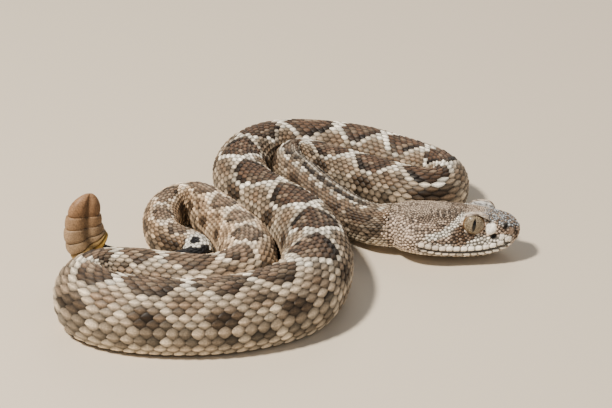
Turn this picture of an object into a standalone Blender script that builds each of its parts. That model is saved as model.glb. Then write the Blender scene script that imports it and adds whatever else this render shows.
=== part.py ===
"""Western diamondback rattlesnake, coiled and alert, at life size.

The body is one route of hand-set points with a girth at each, read through a smooth curve.
It is parted into lengths that meet face to face. The head is lofted from profiles along its
axis, the rattle is a stack of lobed rings. Sizes are in millimetres until mesh_point().
"""

import math

import bmesh
import bpy
import numpy
from mathutils import Vector

MM = 0.001
GAP = 0.3

# Body. The girth is the half width; heights are shares of it.
BODY_SIDES = 20
RING_STEP = 7.0
RING_TURN = math.radians(21.0)
BELLY_DROP = 0.92
BELLY_FLAT = 0.78
BELLY_ROUNDNESS = 0.85
LEAST_LIFT = 0.08
BEND_SHARE = 0.92
BEND_SPAN = 26.0
TURN_REACH = 1.6
PATH_STEP = 0.5
PATH_EVENNESS = 1.6
LEVEL_SLOPE = 0.12
FULL_SLOPE = 0.32
LEAST_RING_SPACE = 1.2
SHARP_EDGE = math.radians(50.0)

# Each stretch ends on a parting. A point is x, y, half width, lift of the belly off the floor.
ROUTE = [
    ("neck", [(28.2, 3.3, 6.1, 2.2), (24.2, 4.2, 5.8, 2.1), (19.6, 8.1, 5.7, 2.1),
              (14.0, 14.5, 5.8, 2.4)]),
    ("body_length_01", [(8.0, 22.6, 5.8, 3.4), (3.8, 30.3, 5.8, 4.4), (0.0, 38.5, 5.9, 4.6),
                        (1.4, 44.9, 6.3, 4.4), (9.0, 42.9, 6.5, 3.4), (18.0, 36.5, 6.8, 2.7)]),
    ("body_length_02", [(27.0, 30.7, 7.1, 2.0)]),
    ("body_length_03", [(35.0, 26.5, 7.4, 1.3), (41.4, 26.5, 7.6, 0.4), (44.2, 33.7, 7.8, 0.0),
                        (41.0, 41.5, 7.8, 0.0), (33.5, 48.1, 7.8, 0.0)]),
    ("body_length_04", [(21.5, 56.3, 8.0, 0.0), (8.0, 60.5, 8.1, 0.0), (-4.0, 60.3, 8.2, 0.0)]),
    ("body_length_05", [(-11.6, 53.5, 8.4, 0.0), (-15.2, 42.1, 8.4, 0.0), (-14.0, 32.1, 8.4, 0.0)]),
    ("body_length_06", [(-10.0, 22.5, 8.5, 0.0), (-3.1, 11.5, 9.0, 0.0), (3.4, -1.9, 9.5, 0.0)]),
    ("body_length_07", [(6.7, -16.9, 9.9, 0.0), (6.7, -31.5, 10.3, 0.0), (2.7, -44.9, 10.4, 0.0)]),
    ("body_length_08", [(-5.0, -52.5, 10.3, 0.0), (-17.6, -57.9, 10.1, 0.0), (-31.0, -59.1, 10.1, 0.0)]),
    ("body_length_09", [(-43.2, -57.1, 10.2, 0.0), (-51.4, -52.5, 10.3, 0.0), (-54.8, -46.1, 10.2, 0.0),
                        (-52.0, -39.9, 10.0, 0.0), (-44.6, -37.7, 9.7, 0.0), (-33.0, -38.9, 9.3, 0.0)]),
    ("body_length_10", [(-22.6, -39.1, 9.1, 0.0), (-14.8, -33.3, 8.8, 0.0)]),
    ("body_length_11", [(-12.4, -23.4, 8.6, 0.0), (-13.2, -10.4, 8.0, 0.0)]),
    ("body_length_12", [(-17.6, 3.1, 7.3, 0.0), (-23.5, 14.3, 7.0, 0.0)]),
    ("body_length_13", [(-28.0, 21.7, 6.6, 0.0), (-33.4, 21.5, 6.2, 0.0), (-36.8, 15.1, 5.9, 0.0),
                        (-37.2, 8.1, 5.6, 0.0)]),
    ("tail", [(-35.8, 1.2, 5.3, 0.0), (-32.0, -2.6, 5.0, 0.0), (-27.8, -4.8, 4.7, 0.0),
              (-26.1, -8.8, 4.4, 0.0), (-28.0, -13.0, 4.2, 0.0), (-33.6, -15.2, 3.9, 0.0),
              (-41.4, -13.8, 3.6, 0.0), (-47.4, -10.6, 3.3, 0.0), (-51.4, -8.2, 3.0, 0.2),
              (-54.0, -8.0, 2.8, 1.4), (-55.4, -8.6, 2.7, 2.9)]),
]

# Head, in its own frame: x forward from the neck, y to its left, z up from the jaw's underside.
HEAD_LENGTH = 35.9
HEAD_FOOT = (28.2, 3.3, 1.5)
HEAD_YAW = math.radians(-10.0)
HEAD_ROLL = math.radians(8.5)
HALF_WIDTH = [(-3.0, 6.0), (0.0, 6.4), (3.0, 9.6), (6.5, 12.2), (10.0, 12.6), (15.0, 11.8),
              (20.0, 10.2), (25.0, 8.7), (29.0, 7.5), (32.6, 6.0), (34.9, 4.4), (35.9, 2.7)]
CROWN_HEIGHT = [(-3.0, 12.2), (0.0, 12.4), (6.0, 12.6), (14.0, 12.8), (22.0, 12.6), (28.0, 12.1),
                (32.6, 11.3), (34.9, 10.2), (35.9, 9.0)]
BROW_HALF = [(-3.0, 3.6), (0.0, 4.0), (8.0, 6.6), (16.0, 6.9), (23.0, 6.7), (28.0, 5.8),
             (32.6, 4.7), (34.9, 3.5), (35.9, 2.1)]
JAW_BOTTOM = [(-3.0, 0.6), (0.0, 0.5), (7.0, 0.1), (15.0, -0.2), (25.0, 0.0), (32.0, 1.7),
              (34.9, 3.6), (35.9, 5.0)]
MOUTH_HEIGHT = [(-3.0, 5.0), (5.0, 4.4), (11.0, 2.7), (18.0, 1.9), (26.0, 2.1), (32.0, 3.5),
                (34.9, 5.0), (35.9, 5.9)]
MOUTH_CORNER = 7.0
MOUTH_FADE = 3.0
MOUTH_GROOVE = 0.7
LIP_RISE = 0.45
CHEEK_RISE = 1.9
NOSE_SHARE = 0.72
NOSE_HEIGHT = 7.6
BLOCK_SIZE = 40.0
HEAD_STATIONS = [-3.0, -1.2, 0.6, 2.6, 4.8, 7.2, 9.8, 12.6, 15.6, 18.6, 21.4, 24.2, 27.0, 29.6,
                 31.8, 33.4, 34.7, 35.5]

EYE_PLACE = (24.2, 6.2, 9.7)
EYE_RADIUS = 3.1
EYE_FACETS = (18, 11)
SOCKET_FACETS = (16, 10)
LID_RIM = 0.5
LID_OUT = 1.6
LID_FACETS = (16, 5)
LID_FACING = (0.16, 0.97, -0.02)
BROW_PLATE_PLACE = (25.2, 5.6, 11.8)
BROW_PLATE_SIZE = (4.2, 2.7, 1.6)
BROW_PLATE_TILT = math.radians(4.0)
BROW_FACETS = (14, 7)
PIT_PLACE = (30.1, 7.1, 6.4)
PIT_RADIUS = 1.0
PIT_FACETS = (10, 6)
NOSTRIL_PLACE = (33.3, 5.5, 9.1)
NOSTRIL_RADIUS = 0.7
NOSTRIL_FACETS = (8, 5)

# Rattle: the axis, then each ring from the tail outward as length and half width.
RATTLE_AXIS = [(-55.4, -8.6, 5.4), (-57.2, -9.4, 7.2), (-58.3, -9.8, 10.2), (-58.4, -10.0, 15.4),
               (-57.3, -10.1, 23.4)]
RATTLE_FACING = math.radians(28.0)
RATTLE_RINGS = [(1.3, 6.0), (1.4, 6.2), (1.8, 6.2), (2.7, 6.0), (2.9, 5.5), (6.4, 4.8)]
RATTLE_THICKNESS = 0.52
RATTLE_SIDES = 20
RING_PROFILE = [(0.0, 0.90), (0.16, 0.99), (0.5, 1.0), (0.82, 0.96), (1.0, 0.88)]
BUTTON_PROFILE = [(0.0, 0.92), (0.12, 1.0), (0.36, 0.96), (0.64, 0.77), (0.86, 0.48), (1.0, 0.16)]
LOBE_GROOVE = 0.26
GROOVE_WIDTH = 0.28
LOBE_FULLNESS = 0.8
RATTLE_GAP = 0.45
BUTTON_LEAN = 0.9

SKIN_COLOUR = (0.36, 0.29, 0.22, 1.0)
HEAD_COLOUR = (0.42, 0.34, 0.27, 1.0)
TAIL_COLOUR = (0.30, 0.29, 0.28, 1.0)
EYE_COLOUR = (0.45, 0.38, 0.22, 1.0)
RATTLE_COLOUR = (0.40, 0.27, 0.15, 1.0)


def mesh_point(point):
    """Millimetres to metres."""
    return Vector(point) * MM


def material(name, colour, roughness):
    made = bpy.data.materials.new(name)
    made.use_nodes = True
    shader = made.node_tree.nodes["Principled BSDF"]
    shader.inputs["Base Color"].default_value = colour
    shader.inputs["Roughness"].default_value = roughness
    shader.inputs["Metallic"].default_value = 0.0
    return made


def curve_value(points, at):
    """Reads a profile of (place, value) pairs through a smooth curve."""
    if at <= points[0][0]:
        return points[0][1]
    if at >= points[-1][0]:
        return points[-1][1]
    last = len(points) - 1
    k = next(i for i in range(last) if at <= points[i + 1][0])
    (x1, v1), (x2, v2) = points[k], points[k + 1]
    x0, v0 = points[k - 1] if k > 0 else (x1 - (x2 - x1), v1 - (v2 - v1))
    x3, v3 = points[k + 2] if k + 2 <= last else (x2 + (x2 - x1), v2 + (v2 - v1))
    slope1 = (v2 - v0) / (x2 - x0)
    slope2 = (v3 - v1) / (x3 - x1)
    t = (at - x1) / (x2 - x1)
    span = x2 - x1
    return (
        (2 * t**3 - 3 * t**2 + 1) * v1
        + (t**3 - 2 * t**2 + t) * span * slope1
        + (3 * t**2 - 2 * t**3) * v2
        + (t**3 - t**2) * span * slope2
    )


class Path:
    """A curve through points of any number of values, evened out and read by its length."""

    def __init__(self, points):
        marks = [0.0]
        for a, b in zip(points, points[1:]):
            marks.append(marks[-1] + math.dist(a[:3], b[:3]))
        self.marks = marks
        self.length = marks[-1]
        count = round(self.length / PATH_STEP)
        self.step = self.length / count
        columns = [list(zip(marks, column)) for column in zip(*points)]
        rows = [[curve_value(c, k * self.step) for c in columns] for k in range(count + 1)]
        self.rows = numpy.array(rows)
        for _ in range(round(4.0 * (PATH_EVENNESS / self.step) ** 2 / 2.0)):
            inner = self.rows[:-2] + 2.0 * self.rows[1:-1] + self.rows[2:]
            self.rows[1:-1] = inner / 4.0

    def at(self, mark):
        place = min(max(mark / self.step, 0.0), len(self.rows) - 1.0)
        k = min(int(place), len(self.rows) - 2)
        share = place - k
        return self.rows[k] * (1.0 - share) + self.rows[k + 1] * share

    def heading(self, mark, reach=0.8):
        ahead = self.at(min(mark + reach, self.length))[:3]
        behind = self.at(max(mark - reach, 0.0))[:3]
        return Vector(ahead - behind).normalized()


def body_path():
    """The route as x, y, height of the middle, and half width."""
    points = []
    for _, stretch in ROUTE:
        for x, y, half, lift in stretch:
            points.append((x, y, lift + BELLY_DROP * half, half))
    path = Path(points)
    lift = path.rows[:, 2] - BELLY_DROP * path.rows[:, 3]
    path.rows[:, 2] -= numpy.where(lift < LEAST_LIFT, lift, 0.0)
    return path


def level(heading):
    """The heading with a gentle slope taken out, so that resting lengths lie flat."""
    slope = abs(heading.z)
    share = min(max((slope - LEVEL_SLOPE) / (FULL_SLOPE - LEVEL_SLOPE), 0.0), 1.0)
    return Vector((heading.x, heading.y, heading.z * share)).normalized()


def turn_rate(path, mark):
    """How fast the route turns, in radians for each millimetre."""
    first, last = max(mark - TURN_REACH, 0.0), min(mark + TURN_REACH, path.length)
    return path.heading(first).xy.angle(path.heading(last).xy) / (last - first)


def bend_room(path, mark, left):
    """Room on the left and on the right before the body meets itself across a bend."""
    first = max(round((mark - BEND_SPAN) / path.step), 0)
    last = round((mark + BEND_SPAN) / path.step)
    away = path.rows[first:last, :2] - path.at(mark)[:2]
    square = (away**2).sum(axis=1)
    across = away @ numpy.array(left.xy)
    rooms = []
    for side in (1.0, -1.0):
        facing = (side * across > 0.01) & (square > 1.0)
        reach = square[facing] / (2.0 * side * across[facing])
        rooms.append(reach.min(initial=BEND_SPAN))
    return rooms


def body_ring(path, mark, shift=0.0):
    """One section of the body: a loaf with a flat belly, squeezed on the inside of a bend."""
    place = path.at(mark)
    half = place[3]
    if mark == 0.0:
        forward, left, up = head_axes()
        forward, left = -forward, -left
    else:
        forward = level(path.heading(mark))
        left = Vector((-forward.y, forward.x, 0.0)).normalized()
        up = forward.cross(left)
    rooms = bend_room(path, mark, left)
    middle = Vector(place[:3]) + forward * shift
    ring = []
    for k in range(BODY_SIDES):
        angle = 2.0 * math.pi * (k + 0.5) / BODY_SIDES
        side = math.sin(angle)
        rise = math.cos(angle)
        room = BEND_SHARE * (rooms[0] if side > 0.0 else rooms[1])
        wide = half * room / (half**4 + room**4) ** 0.25
        if rise >= 0.0:
            high = half * rise
        else:
            high = -BELLY_DROP * half * min(1.0, (-rise / BELLY_FLAT) ** BELLY_ROUNDNESS)
        ring.append(middle + left * (wide * side) + up * high)
    return ring


def ring_marks(path, start, end):
    """Where the sections of one length stand: closer together in its bends."""
    marks = [start]
    grown = 0.0
    step = PATH_STEP
    at = start
    while at + step < end:
        at += step
        grown += step / RING_STEP + turn_rate(path, at) * step / RING_TURN
        if grown >= 1.0:
            marks.append(at)
            grown = 0.0
    if end - marks[-1] < LEAST_RING_SPACE and len(marks) > 1:
        marks.pop()
    marks.append(end)
    return marks


def loft(name, rings, finish, smooth=True):
    """A closed solid through rings of equal count, with flat ends."""
    mesh = bmesh.new()
    loops = []
    for ring in rings:
        verts = [mesh.verts.new(mesh_point(p)) for p in ring]
        loops.append([mesh.edges.new((a, b)) for a, b in zip(verts, verts[1:] + verts[:1])])
    for first, second in zip(loops, loops[1:]):
        bmesh.ops.bridge_loops(mesh, edges=first + second)
    for loop in (loops[0], loops[-1]):
        bmesh.ops.holes_fill(mesh, edges=loop, sides=0)
    bmesh.ops.recalc_face_normals(mesh, faces=mesh.faces)
    return finish_mesh(name, mesh, finish, smooth)


def finish_mesh(name, mesh, finish, smooth=True):
    data = bpy.data.meshes.new(name)
    mesh.to_mesh(data)
    mesh.free()
    if smooth:
        data.shade_smooth()
        data.set_sharp_from_angle(angle=SHARP_EDGE)
    data.materials.append(finish)
    made = bpy.data.objects.new(name, data)
    bpy.context.scene.collection.objects.link(made)
    return made


def applied(obj):
    """Makes an object's modifiers part of its mesh."""
    bpy.context.view_layer.update()
    shaped = obj.evaluated_get(bpy.context.evaluated_depsgraph_get())
    data = bpy.data.meshes.new_from_object(shaped)
    obj.modifiers.clear()
    old = obj.data
    obj.data = data
    bpy.data.meshes.remove(old)
    return obj


def joined(name, pieces, operation="UNION"):
    """Joins closed pieces into the first, or cuts them from it, and removes them."""
    body = pieces[0]
    tools = bpy.data.collections.new(name + "_tools")
    bpy.context.scene.collection.children.link(tools)
    for piece in pieces[1:]:
        bpy.context.scene.collection.objects.unlink(piece)
        tools.objects.link(piece)
    fuse = body.modifiers.new("join", "BOOLEAN")
    fuse.operand_type = "COLLECTION"
    fuse.collection = tools
    fuse.operation = operation
    fuse.solver = "EXACT"
    applied(body)
    for piece in pieces[1:]:
        bpy.data.objects.remove(piece)
    bpy.data.collections.remove(tools)
    return body


def largest_surface(obj):
    """Keeps only the largest closed surface of an object."""
    mesh = bmesh.new()
    mesh.from_mesh(obj.data)
    left = set(mesh.verts)
    groups = []
    while left:
        todo = [left.pop()]
        group = set(todo)
        while todo:
            for edge in todo.pop().link_edges:
                for vert in edge.verts:
                    if vert in left:
                        left.discard(vert)
                        group.add(vert)
                        todo.append(vert)
        groups.append(group)
    groups.sort(key=len)
    for group in groups[:-1]:
        bmesh.ops.delete(mesh, geom=list(group), context="VERTS")
    mesh.to_mesh(obj.data)
    mesh.free()
    return obj


def head_axes():
    """The head's forward, left and up, turned by its yaw and rolled away on its right."""
    forward = Vector((math.cos(HEAD_YAW), math.sin(HEAD_YAW), 0.0))
    flat_left = Vector((-forward.y, forward.x, 0.0))
    left = flat_left * math.cos(HEAD_ROLL) - Vector((0.0, 0.0, 1.0)) * math.sin(HEAD_ROLL)
    return forward, left, forward.cross(left)


def head_point(x, y, z):
    forward, left, up = head_axes()
    return Vector(HEAD_FOOT) + forward * x + left * y + up * z


def head_section(x):
    """The head's left half at x, from the crown's middle to the chin's."""
    wide = curve_value(HALF_WIDTH, x)
    crown = curve_value(CROWN_HEIGHT, x)
    brow = curve_value(BROW_HALF, x)
    low = curve_value(JAW_BOTTOM, x)
    mouth = curve_value(MOUTH_HEIGHT, x)
    groove = MOUTH_GROOVE * min(max((x - MOUTH_CORNER) / MOUTH_FADE, 0.0), 1.0)
    lip = LIP_RISE
    cheek = 0.5 * (crown + mouth)
    return [
        (0.0, crown),
        (0.55 * brow, crown - 0.05),
        (brow, crown - 0.7),
        (brow + 0.42 * (wide - brow), 0.72 * crown + 0.28 * cheek - 0.5),
        (brow + 0.82 * (wide - brow), cheek - 0.3),
        (wide, mouth + CHEEK_RISE),
        (wide - 0.1, mouth + lip),
        (wide - 0.2 - groove, mouth),
        (wide - 0.35, mouth - lip),
        (0.87 * wide, low + 0.38 * (mouth - low)),
        (0.58 * wide, low + 0.06),
        (0.0, low),
    ]


def make_head(finish):
    """Crown, cheeks and jaws in one loft, with brow plates, lids, sockets, pits and nostrils."""
    rings = []
    for x in HEAD_STATIONS:
        half = head_section(x)
        right = [(-y, z) for y, z in half[1:-1]]
        rings.append([(x, y, z) for y, z in half + right[::-1]])
    nose = []
    for _, y, z in rings[-1]:
        nose.append((HEAD_LENGTH, NOSE_SHARE * y, NOSE_HEIGHT + NOSE_SHARE * (z - NOSE_HEIGHT)))
    rings.append(nose)
    head = loft("head", [[head_point(*p) for p in ring] for ring in rings], finish)
    smooth = head.modifiers.new("smooth", "SUBSURF")
    smooth.levels = 1
    smooth.render_levels = 1
    applied(head)
    parts = [head]
    for side in (1.0, -1.0):
        parts.append(brow_plate(side, finish))
        parts.append(lid_ring(side, finish))
    joined("head_forms", parts)
    cutters = [head]
    for side in (1.0, -1.0):
        cutters.append(ball(EYE_PLACE, side, EYE_RADIUS + GAP, finish, SOCKET_FACETS))
        cutters.append(ball(PIT_PLACE, side, PIT_RADIUS, finish, PIT_FACETS))
        cutters.append(ball(NOSTRIL_PLACE, side, NOSTRIL_RADIUS, finish, NOSTRIL_FACETS))
    cutters.append(neck_cutter(finish))
    joined("head_hollows", cutters, "DIFFERENCE")
    largest_surface(head)
    head.data.shade_smooth()
    head.data.set_sharp_from_angle(angle=SHARP_EDGE)
    return head


def ball(place, side, radius, finish, facets):
    segments, rings = facets
    mesh = bmesh.new()
    bmesh.ops.create_uvsphere(mesh, u_segments=segments, v_segments=rings, radius=radius * MM)
    centre = mesh_point(head_point(place[0], side * place[1], place[2]))
    bmesh.ops.translate(mesh, verts=mesh.verts, vec=centre)
    return finish_mesh("ball", mesh, finish)


def brow_plate(side, finish):
    """The shield over each eye, proud of the crown and overhanging the lid."""
    mesh = bmesh.new()
    segments, rings = BROW_FACETS
    bmesh.ops.create_uvsphere(mesh, u_segments=segments, v_segments=rings, radius=1.0)
    x0, y0, z0 = BROW_PLATE_PLACE
    long, wide, thick = BROW_PLATE_SIZE
    turn_cos = math.cos(BROW_PLATE_TILT)
    turn_sin = side * math.sin(BROW_PLATE_TILT)
    for vert in mesh.verts:
        x, y, z = vert.co
        across = wide * y * turn_cos - thick * z * turn_sin
        rise = thick * z * turn_cos + wide * y * turn_sin
        vert.co = mesh_point(head_point(x0 + long * x, side * y0 + across, z0 + rise))
    bmesh.ops.recalc_face_normals(mesh, faces=mesh.faces)
    return finish_mesh("brow", mesh, finish)


def lid_ring(side, finish):
    """The raised rim of scales round each eye."""
    mesh = bmesh.new()
    x0, y0, z0 = EYE_PLACE
    reach = EYE_RADIUS - 0.1
    count, around = LID_FACETS
    outward = Vector(LID_FACING).normalized()
    sideways = Vector((1.0, 0.0, 0.0))
    sideways = (sideways - outward * sideways.dot(outward)).normalized()
    upward = outward.cross(sideways)
    rows = []
    for k in range(count):
        turn = 2.0 * math.pi * k / count
        spoke = sideways * math.cos(turn) + upward * math.sin(turn)
        row = []
        for j in range(around):
            roll = 2.0 * math.pi * j / around
            point = spoke * (reach + LID_RIM * math.cos(roll))
            point += outward * (LID_OUT + LID_RIM * math.sin(roll))
            x, y, z = x0 + point.x, y0 + point.y, z0 + point.z
            row.append(mesh.verts.new(mesh_point(head_point(x, side * y, z))))
        rows.append(row)
    for row, after in zip(rows, rows[1:] + rows[:1]):
        for j in range(around):
            k = (j + 1) % around
            mesh.faces.new((row[j], row[k], after[k], after[j]))
    bmesh.ops.recalc_face_normals(mesh, faces=mesh.faces)
    return finish_mesh("lid", mesh, finish)


def neck_cutter(finish):
    """A block that squares off the back of the head at the neck's parting."""
    mesh = bmesh.new()
    bmesh.ops.create_cube(mesh, size=1.0)
    for vert in mesh.verts:
        x, y, z = vert.co
        x = GAP / 2.0 if x > 0 else -BLOCK_SIZE
        vert.co = mesh_point(head_point(x, BLOCK_SIZE * y, BLOCK_SIZE * z))
    bmesh.ops.recalc_face_normals(mesh, faces=mesh.faces)
    return finish_mesh("block", mesh, finish)


def make_eye(name, side, finish):
    """An eyeball deep in its socket."""
    made = ball(EYE_PLACE, side, EYE_RADIUS, finish, EYE_FACETS)
    made.name = name
    made.data.name = name
    return made


def make_lengths(finish, tail_finish):
    """Every length of the body, from the neck to the tail, between partings."""
    path = body_path()
    count = 0
    start = 0.0
    for k, (name, stretch) in enumerate(ROUTE):
        count += len(stretch)
        end = path.marks[count - 1]
        marks = ring_marks(path, start, end)
        rings = [body_ring(path, mark) for mark in marks]
        rings[0] = body_ring(path, start, GAP / 2.0)
        rings[-1] = body_ring(path, end, -GAP / 2.0)
        loft(name, rings, tail_finish if name == "tail" else finish)
        start = end


def rattle_ring(path, mark, half, side_axis, lean):
    """One lobed section of the rattle, with a groove down the middle of each broad face."""
    forward = path.heading(mark)
    thin = side_axis
    broad = forward.cross(thin).normalized()
    middle = Vector(path.at(mark)[:3]) - broad * lean
    ring = []
    for k in range(RATTLE_SIDES):
        angle = 2.0 * math.pi * (k + 0.5) / RATTLE_SIDES
        across = math.cos(angle)
        depth = math.sin(angle)
        groove = 1.0 - LOBE_GROOVE * math.exp(-((across / GROOVE_WIDTH) ** 2))
        full = math.copysign(abs(depth) ** LOBE_FULLNESS, depth)
        ring.append(middle + broad * (half * across) + thin * (half * RATTLE_THICKNESS * full * groove))
    return ring


def make_rattle(finish):
    path = Path(RATTLE_AXIS)
    side_axis = Vector((-math.sin(RATTLE_FACING), math.cos(RATTLE_FACING), 0.0))
    at = GAP
    for k, (length, half) in enumerate(RATTLE_RINGS):
        last = k == len(RATTLE_RINGS) - 1
        profile = BUTTON_PROFILE if last else RING_PROFILE
        rings = []
        for share, swell in profile:
            lean = BUTTON_LEAN * share**2 if last else 0.0
            rings.append(rattle_ring(path, at + share * length, half * swell, side_axis, lean))
        loft(f"rattle_ring_{k + 1}", rings, finish)
        at += length + RATTLE_GAP


def main():
    for obj in list(bpy.data.objects):
        bpy.data.objects.remove(obj)
    skin = material("scaled skin", SKIN_COLOUR, 0.6)
    head_skin = material("head skin", HEAD_COLOUR, 0.6)
    tail_skin = material("tail skin", TAIL_COLOUR, 0.55)
    eye = material("eye", EYE_COLOUR, 0.15)
    rattle = material("rattle horn", RATTLE_COLOUR, 0.45)
    make_head(head_skin)
    make_eye("eye_left", 1.0, eye)
    make_eye("eye_right", -1.0, eye)
    make_lengths(skin, tail_skin)
    make_rattle(rattle)


main()
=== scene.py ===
"""Western diamondback rattlesnake, coiled and alert, at life size.

One skin covers the head, the neck, the body and the tail. Keeled scales, belly scutes and the small
scales and plates of the head are meshes set on it. Sizes in the code are in millimetres until they
reach a mesh.
"""

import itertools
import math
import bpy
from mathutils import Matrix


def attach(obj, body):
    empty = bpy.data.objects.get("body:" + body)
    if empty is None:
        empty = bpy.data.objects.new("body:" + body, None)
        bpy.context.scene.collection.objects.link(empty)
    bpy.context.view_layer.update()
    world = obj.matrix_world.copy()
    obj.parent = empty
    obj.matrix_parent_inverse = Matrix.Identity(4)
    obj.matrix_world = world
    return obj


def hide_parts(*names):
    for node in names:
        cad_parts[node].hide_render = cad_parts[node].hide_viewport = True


bl_info = {
    "name": "Diamondback Rattlesnake",
    "version": (1, 0, 0),
    "blender": (4, 5, 0),
    "location": "View3D > Sidebar > Snake",
    "description": "Builds a scaled rattlesnake on its packed solids, with its stage",
    "category": "Add Mesh",
}

import bmesh
import bpy
import numpy as np
from mathutils import Vector
from mathutils.bvhtree import BVHTree
from mathutils.kdtree import KDTree

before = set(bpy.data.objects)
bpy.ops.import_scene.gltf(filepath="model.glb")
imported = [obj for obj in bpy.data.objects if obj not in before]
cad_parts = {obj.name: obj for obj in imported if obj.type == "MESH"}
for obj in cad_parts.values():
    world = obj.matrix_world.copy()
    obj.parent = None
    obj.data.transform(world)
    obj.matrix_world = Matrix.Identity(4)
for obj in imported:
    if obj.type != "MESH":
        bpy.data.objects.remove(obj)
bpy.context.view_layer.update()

MM = 0.001

# Body: x, y, half width, lift of the belly off the ground, from the neck to the end of the tail.
ROUTE = [
    (28.2, 3.3, 6.1, 2.2), (24.2, 4.2, 5.8, 2.1), (19.6, 8.1, 5.7, 2.1), (14.0, 14.5, 5.8, 2.4),
    (8.0, 22.6, 5.8, 3.4), (3.8, 30.3, 5.8, 4.4), (0.0, 38.5, 5.9, 4.6), (1.4, 44.9, 6.3, 4.4),
    (9.0, 42.9, 6.5, 3.4), (18.0, 36.5, 6.8, 2.7), (27.0, 30.7, 7.1, 2.0), (35.0, 26.5, 7.4, 1.3),
    (41.4, 26.5, 7.6, 0.4), (44.2, 33.7, 7.8, 0.0), (41.0, 41.5, 7.8, 0.0), (33.5, 48.1, 7.8, 0.0),
    (21.5, 56.3, 8.0, 0.0), (8.0, 60.5, 8.1, 0.0), (-4.0, 60.3, 8.2, 0.0), (-11.6, 53.5, 8.4, 0.0),
    (-15.2, 42.1, 8.4, 0.0), (-14.0, 32.1, 8.4, 0.0), (-10.0, 22.5, 8.5, 0.0), (-3.1, 11.5, 9.0, 0.0),
    (3.4, -1.9, 9.5, 0.0), (6.7, -16.9, 9.9, 0.0), (6.7, -31.5, 10.3, 0.0), (2.7, -44.9, 10.4, 0.0),
    (-5.0, -52.5, 10.3, 0.0), (-17.6, -57.9, 10.1, 0.0), (-31.0, -59.1, 10.1, 0.0),
    (-43.2, -57.1, 10.2, 0.0), (-51.4, -52.5, 10.3, 0.0), (-54.8, -46.1, 10.2, 0.0),
    (-52.0, -39.9, 10.0, 0.0), (-44.6, -37.7, 9.7, 0.0), (-33.0, -38.9, 9.3, 0.0),
    (-22.6, -39.1, 9.1, 0.0), (-14.8, -33.3, 8.8, 0.0), (-12.4, -23.4, 8.6, 0.0),
    (-13.2, -10.4, 8.0, 0.0), (-17.6, 3.1, 7.3, 0.0), (-23.5, 14.3, 7.0, 0.0),
    (-28.0, 21.7, 6.6, 0.0), (-33.4, 21.5, 6.2, 0.0), (-36.8, 15.1, 5.9, 0.0),
    (-37.2, 8.1, 5.6, 0.0), (-35.8, 1.2, 5.3, 0.0), (-32.0, -2.6, 5.0, 0.0), (-27.8, -4.8, 4.7, 0.0),
    (-26.1, -8.8, 4.4, 0.0), (-28.0, -13.0, 4.2, 0.0), (-33.6, -15.2, 3.9, 0.0),
    (-41.4, -13.8, 3.6, 0.0), (-47.4, -10.6, 3.3, 0.0), (-51.4, -8.2, 3.0, 0.2),
    (-54.0, -8.0, 2.8, 1.4), (-55.4, -8.6, 2.7, 2.9),
]
# Spacing of the points read from a given line, and the reach over which they are evened out.
ROUTE_STEP = 0.5
ROUTE_EVENNESS = 1.6
# Depth of the belly under the middle line against the half width, and how early and how softly it
# turns flat.
BELLY_DROP = 0.92
BELLY_FLAT = 0.78
BELLY_SOFT = 0.85
# Share of the room inside a bend that the body may fill, and how far along it looks for a bend.
BEND_SHARE = 0.92
BEND_SPAN = 26.0
# A belly nearer to the ground than this lies on it.
LEAST_LIFT = 0.08
# The body is held level below the first of these climbs, and follows its line above the second.
LEVEL_CLIMB = (0.1, 0.34)
# How far down the neck the head's roll is shared out.
ROLL_REACH = 14.0
# Steps along and round the body between which the direction of its surface is measured.
SURFACE_STEPS = (0.5, 0.06)

# Head, in its own frame: x forward from the neck, y to its left, z up from the jaw's underside.
HEAD_FOOT = np.array((28.2, 3.3, 1.5))
HEAD_YAW = math.radians(-10.0)
HEAD_ROLL = math.radians(8.5)
HEAD_LENGTH = 35.9
HALF_WIDTH = [(-3.0, 6.0), (0.0, 6.4), (3.0, 9.6), (6.5, 12.2), (10.0, 12.6), (15.0, 11.8),
              (20.0, 10.2), (25.0, 8.7), (29.0, 7.5), (32.6, 6.0), (34.9, 4.4), (35.9, 2.7)]
CROWN_HEIGHT = [(-3.0, 12.2), (0.0, 12.4), (6.0, 12.6), (14.0, 12.8), (22.0, 12.6), (28.0, 12.1),
                (32.6, 11.3), (34.9, 10.2), (35.9, 9.0)]
BROW_HALF = [(-3.0, 3.6), (0.0, 4.0), (8.0, 6.6), (16.0, 6.9), (23.0, 6.7), (28.0, 5.8),
             (32.6, 4.7), (34.9, 3.5), (35.9, 2.1)]
JAW_BOTTOM = [(-3.0, 0.6), (0.0, 0.5), (7.0, 0.1), (15.0, -0.2), (25.0, 0.0), (32.0, 1.7),
              (34.9, 3.6), (35.9, 5.0)]
MOUTH_HEIGHT = [(-3.0, 5.0), (5.0, 4.4), (11.0, 2.7), (18.0, 1.9), (26.0, 2.1), (32.0, 3.5),
                (34.9, 5.0), (35.9, 5.9)]
MOUTH_CORNER = 7.0
MOUTH_GROOVE = 0.55
EYE_PLACE = np.array((24.2, 6.0, 10.0))
EYE_RADIUS = 3.4
EYE_OPENING = 3.05
# Where the lids meet the eye, measured out from its middle.
LID_SEAT = math.sqrt(EYE_RADIUS**2 - EYE_OPENING**2)
PIT_PLACE = np.array((30.1, 7.0, 6.45))
NOSTRIL_PLACE = np.array((33.3, 5.5, 9.15))
# Place, radius, depth and rim height of the heat pit and the nostril.
HOLLOWS = ((PIT_PLACE, 0.8, 1.3, 0.12), (NOSTRIL_PLACE, 0.62, 1.1, 0.3))
# How a hollow is stretched along each axis, and the place and width of its rim in radii.
HOLLOW_STRETCH = (1.15, 0.5, 0.8)
HOLLOW_RIM = (1.9, 0.6)
# Shares of the way round a half section, from the crown to the chin, at which its places lie.
AROUND_SHARES = (0.0, 0.12, 0.22, 0.33, 0.43, 0.54, 0.62, 0.66, 0.70, 0.78, 0.88, 1.0)


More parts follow.
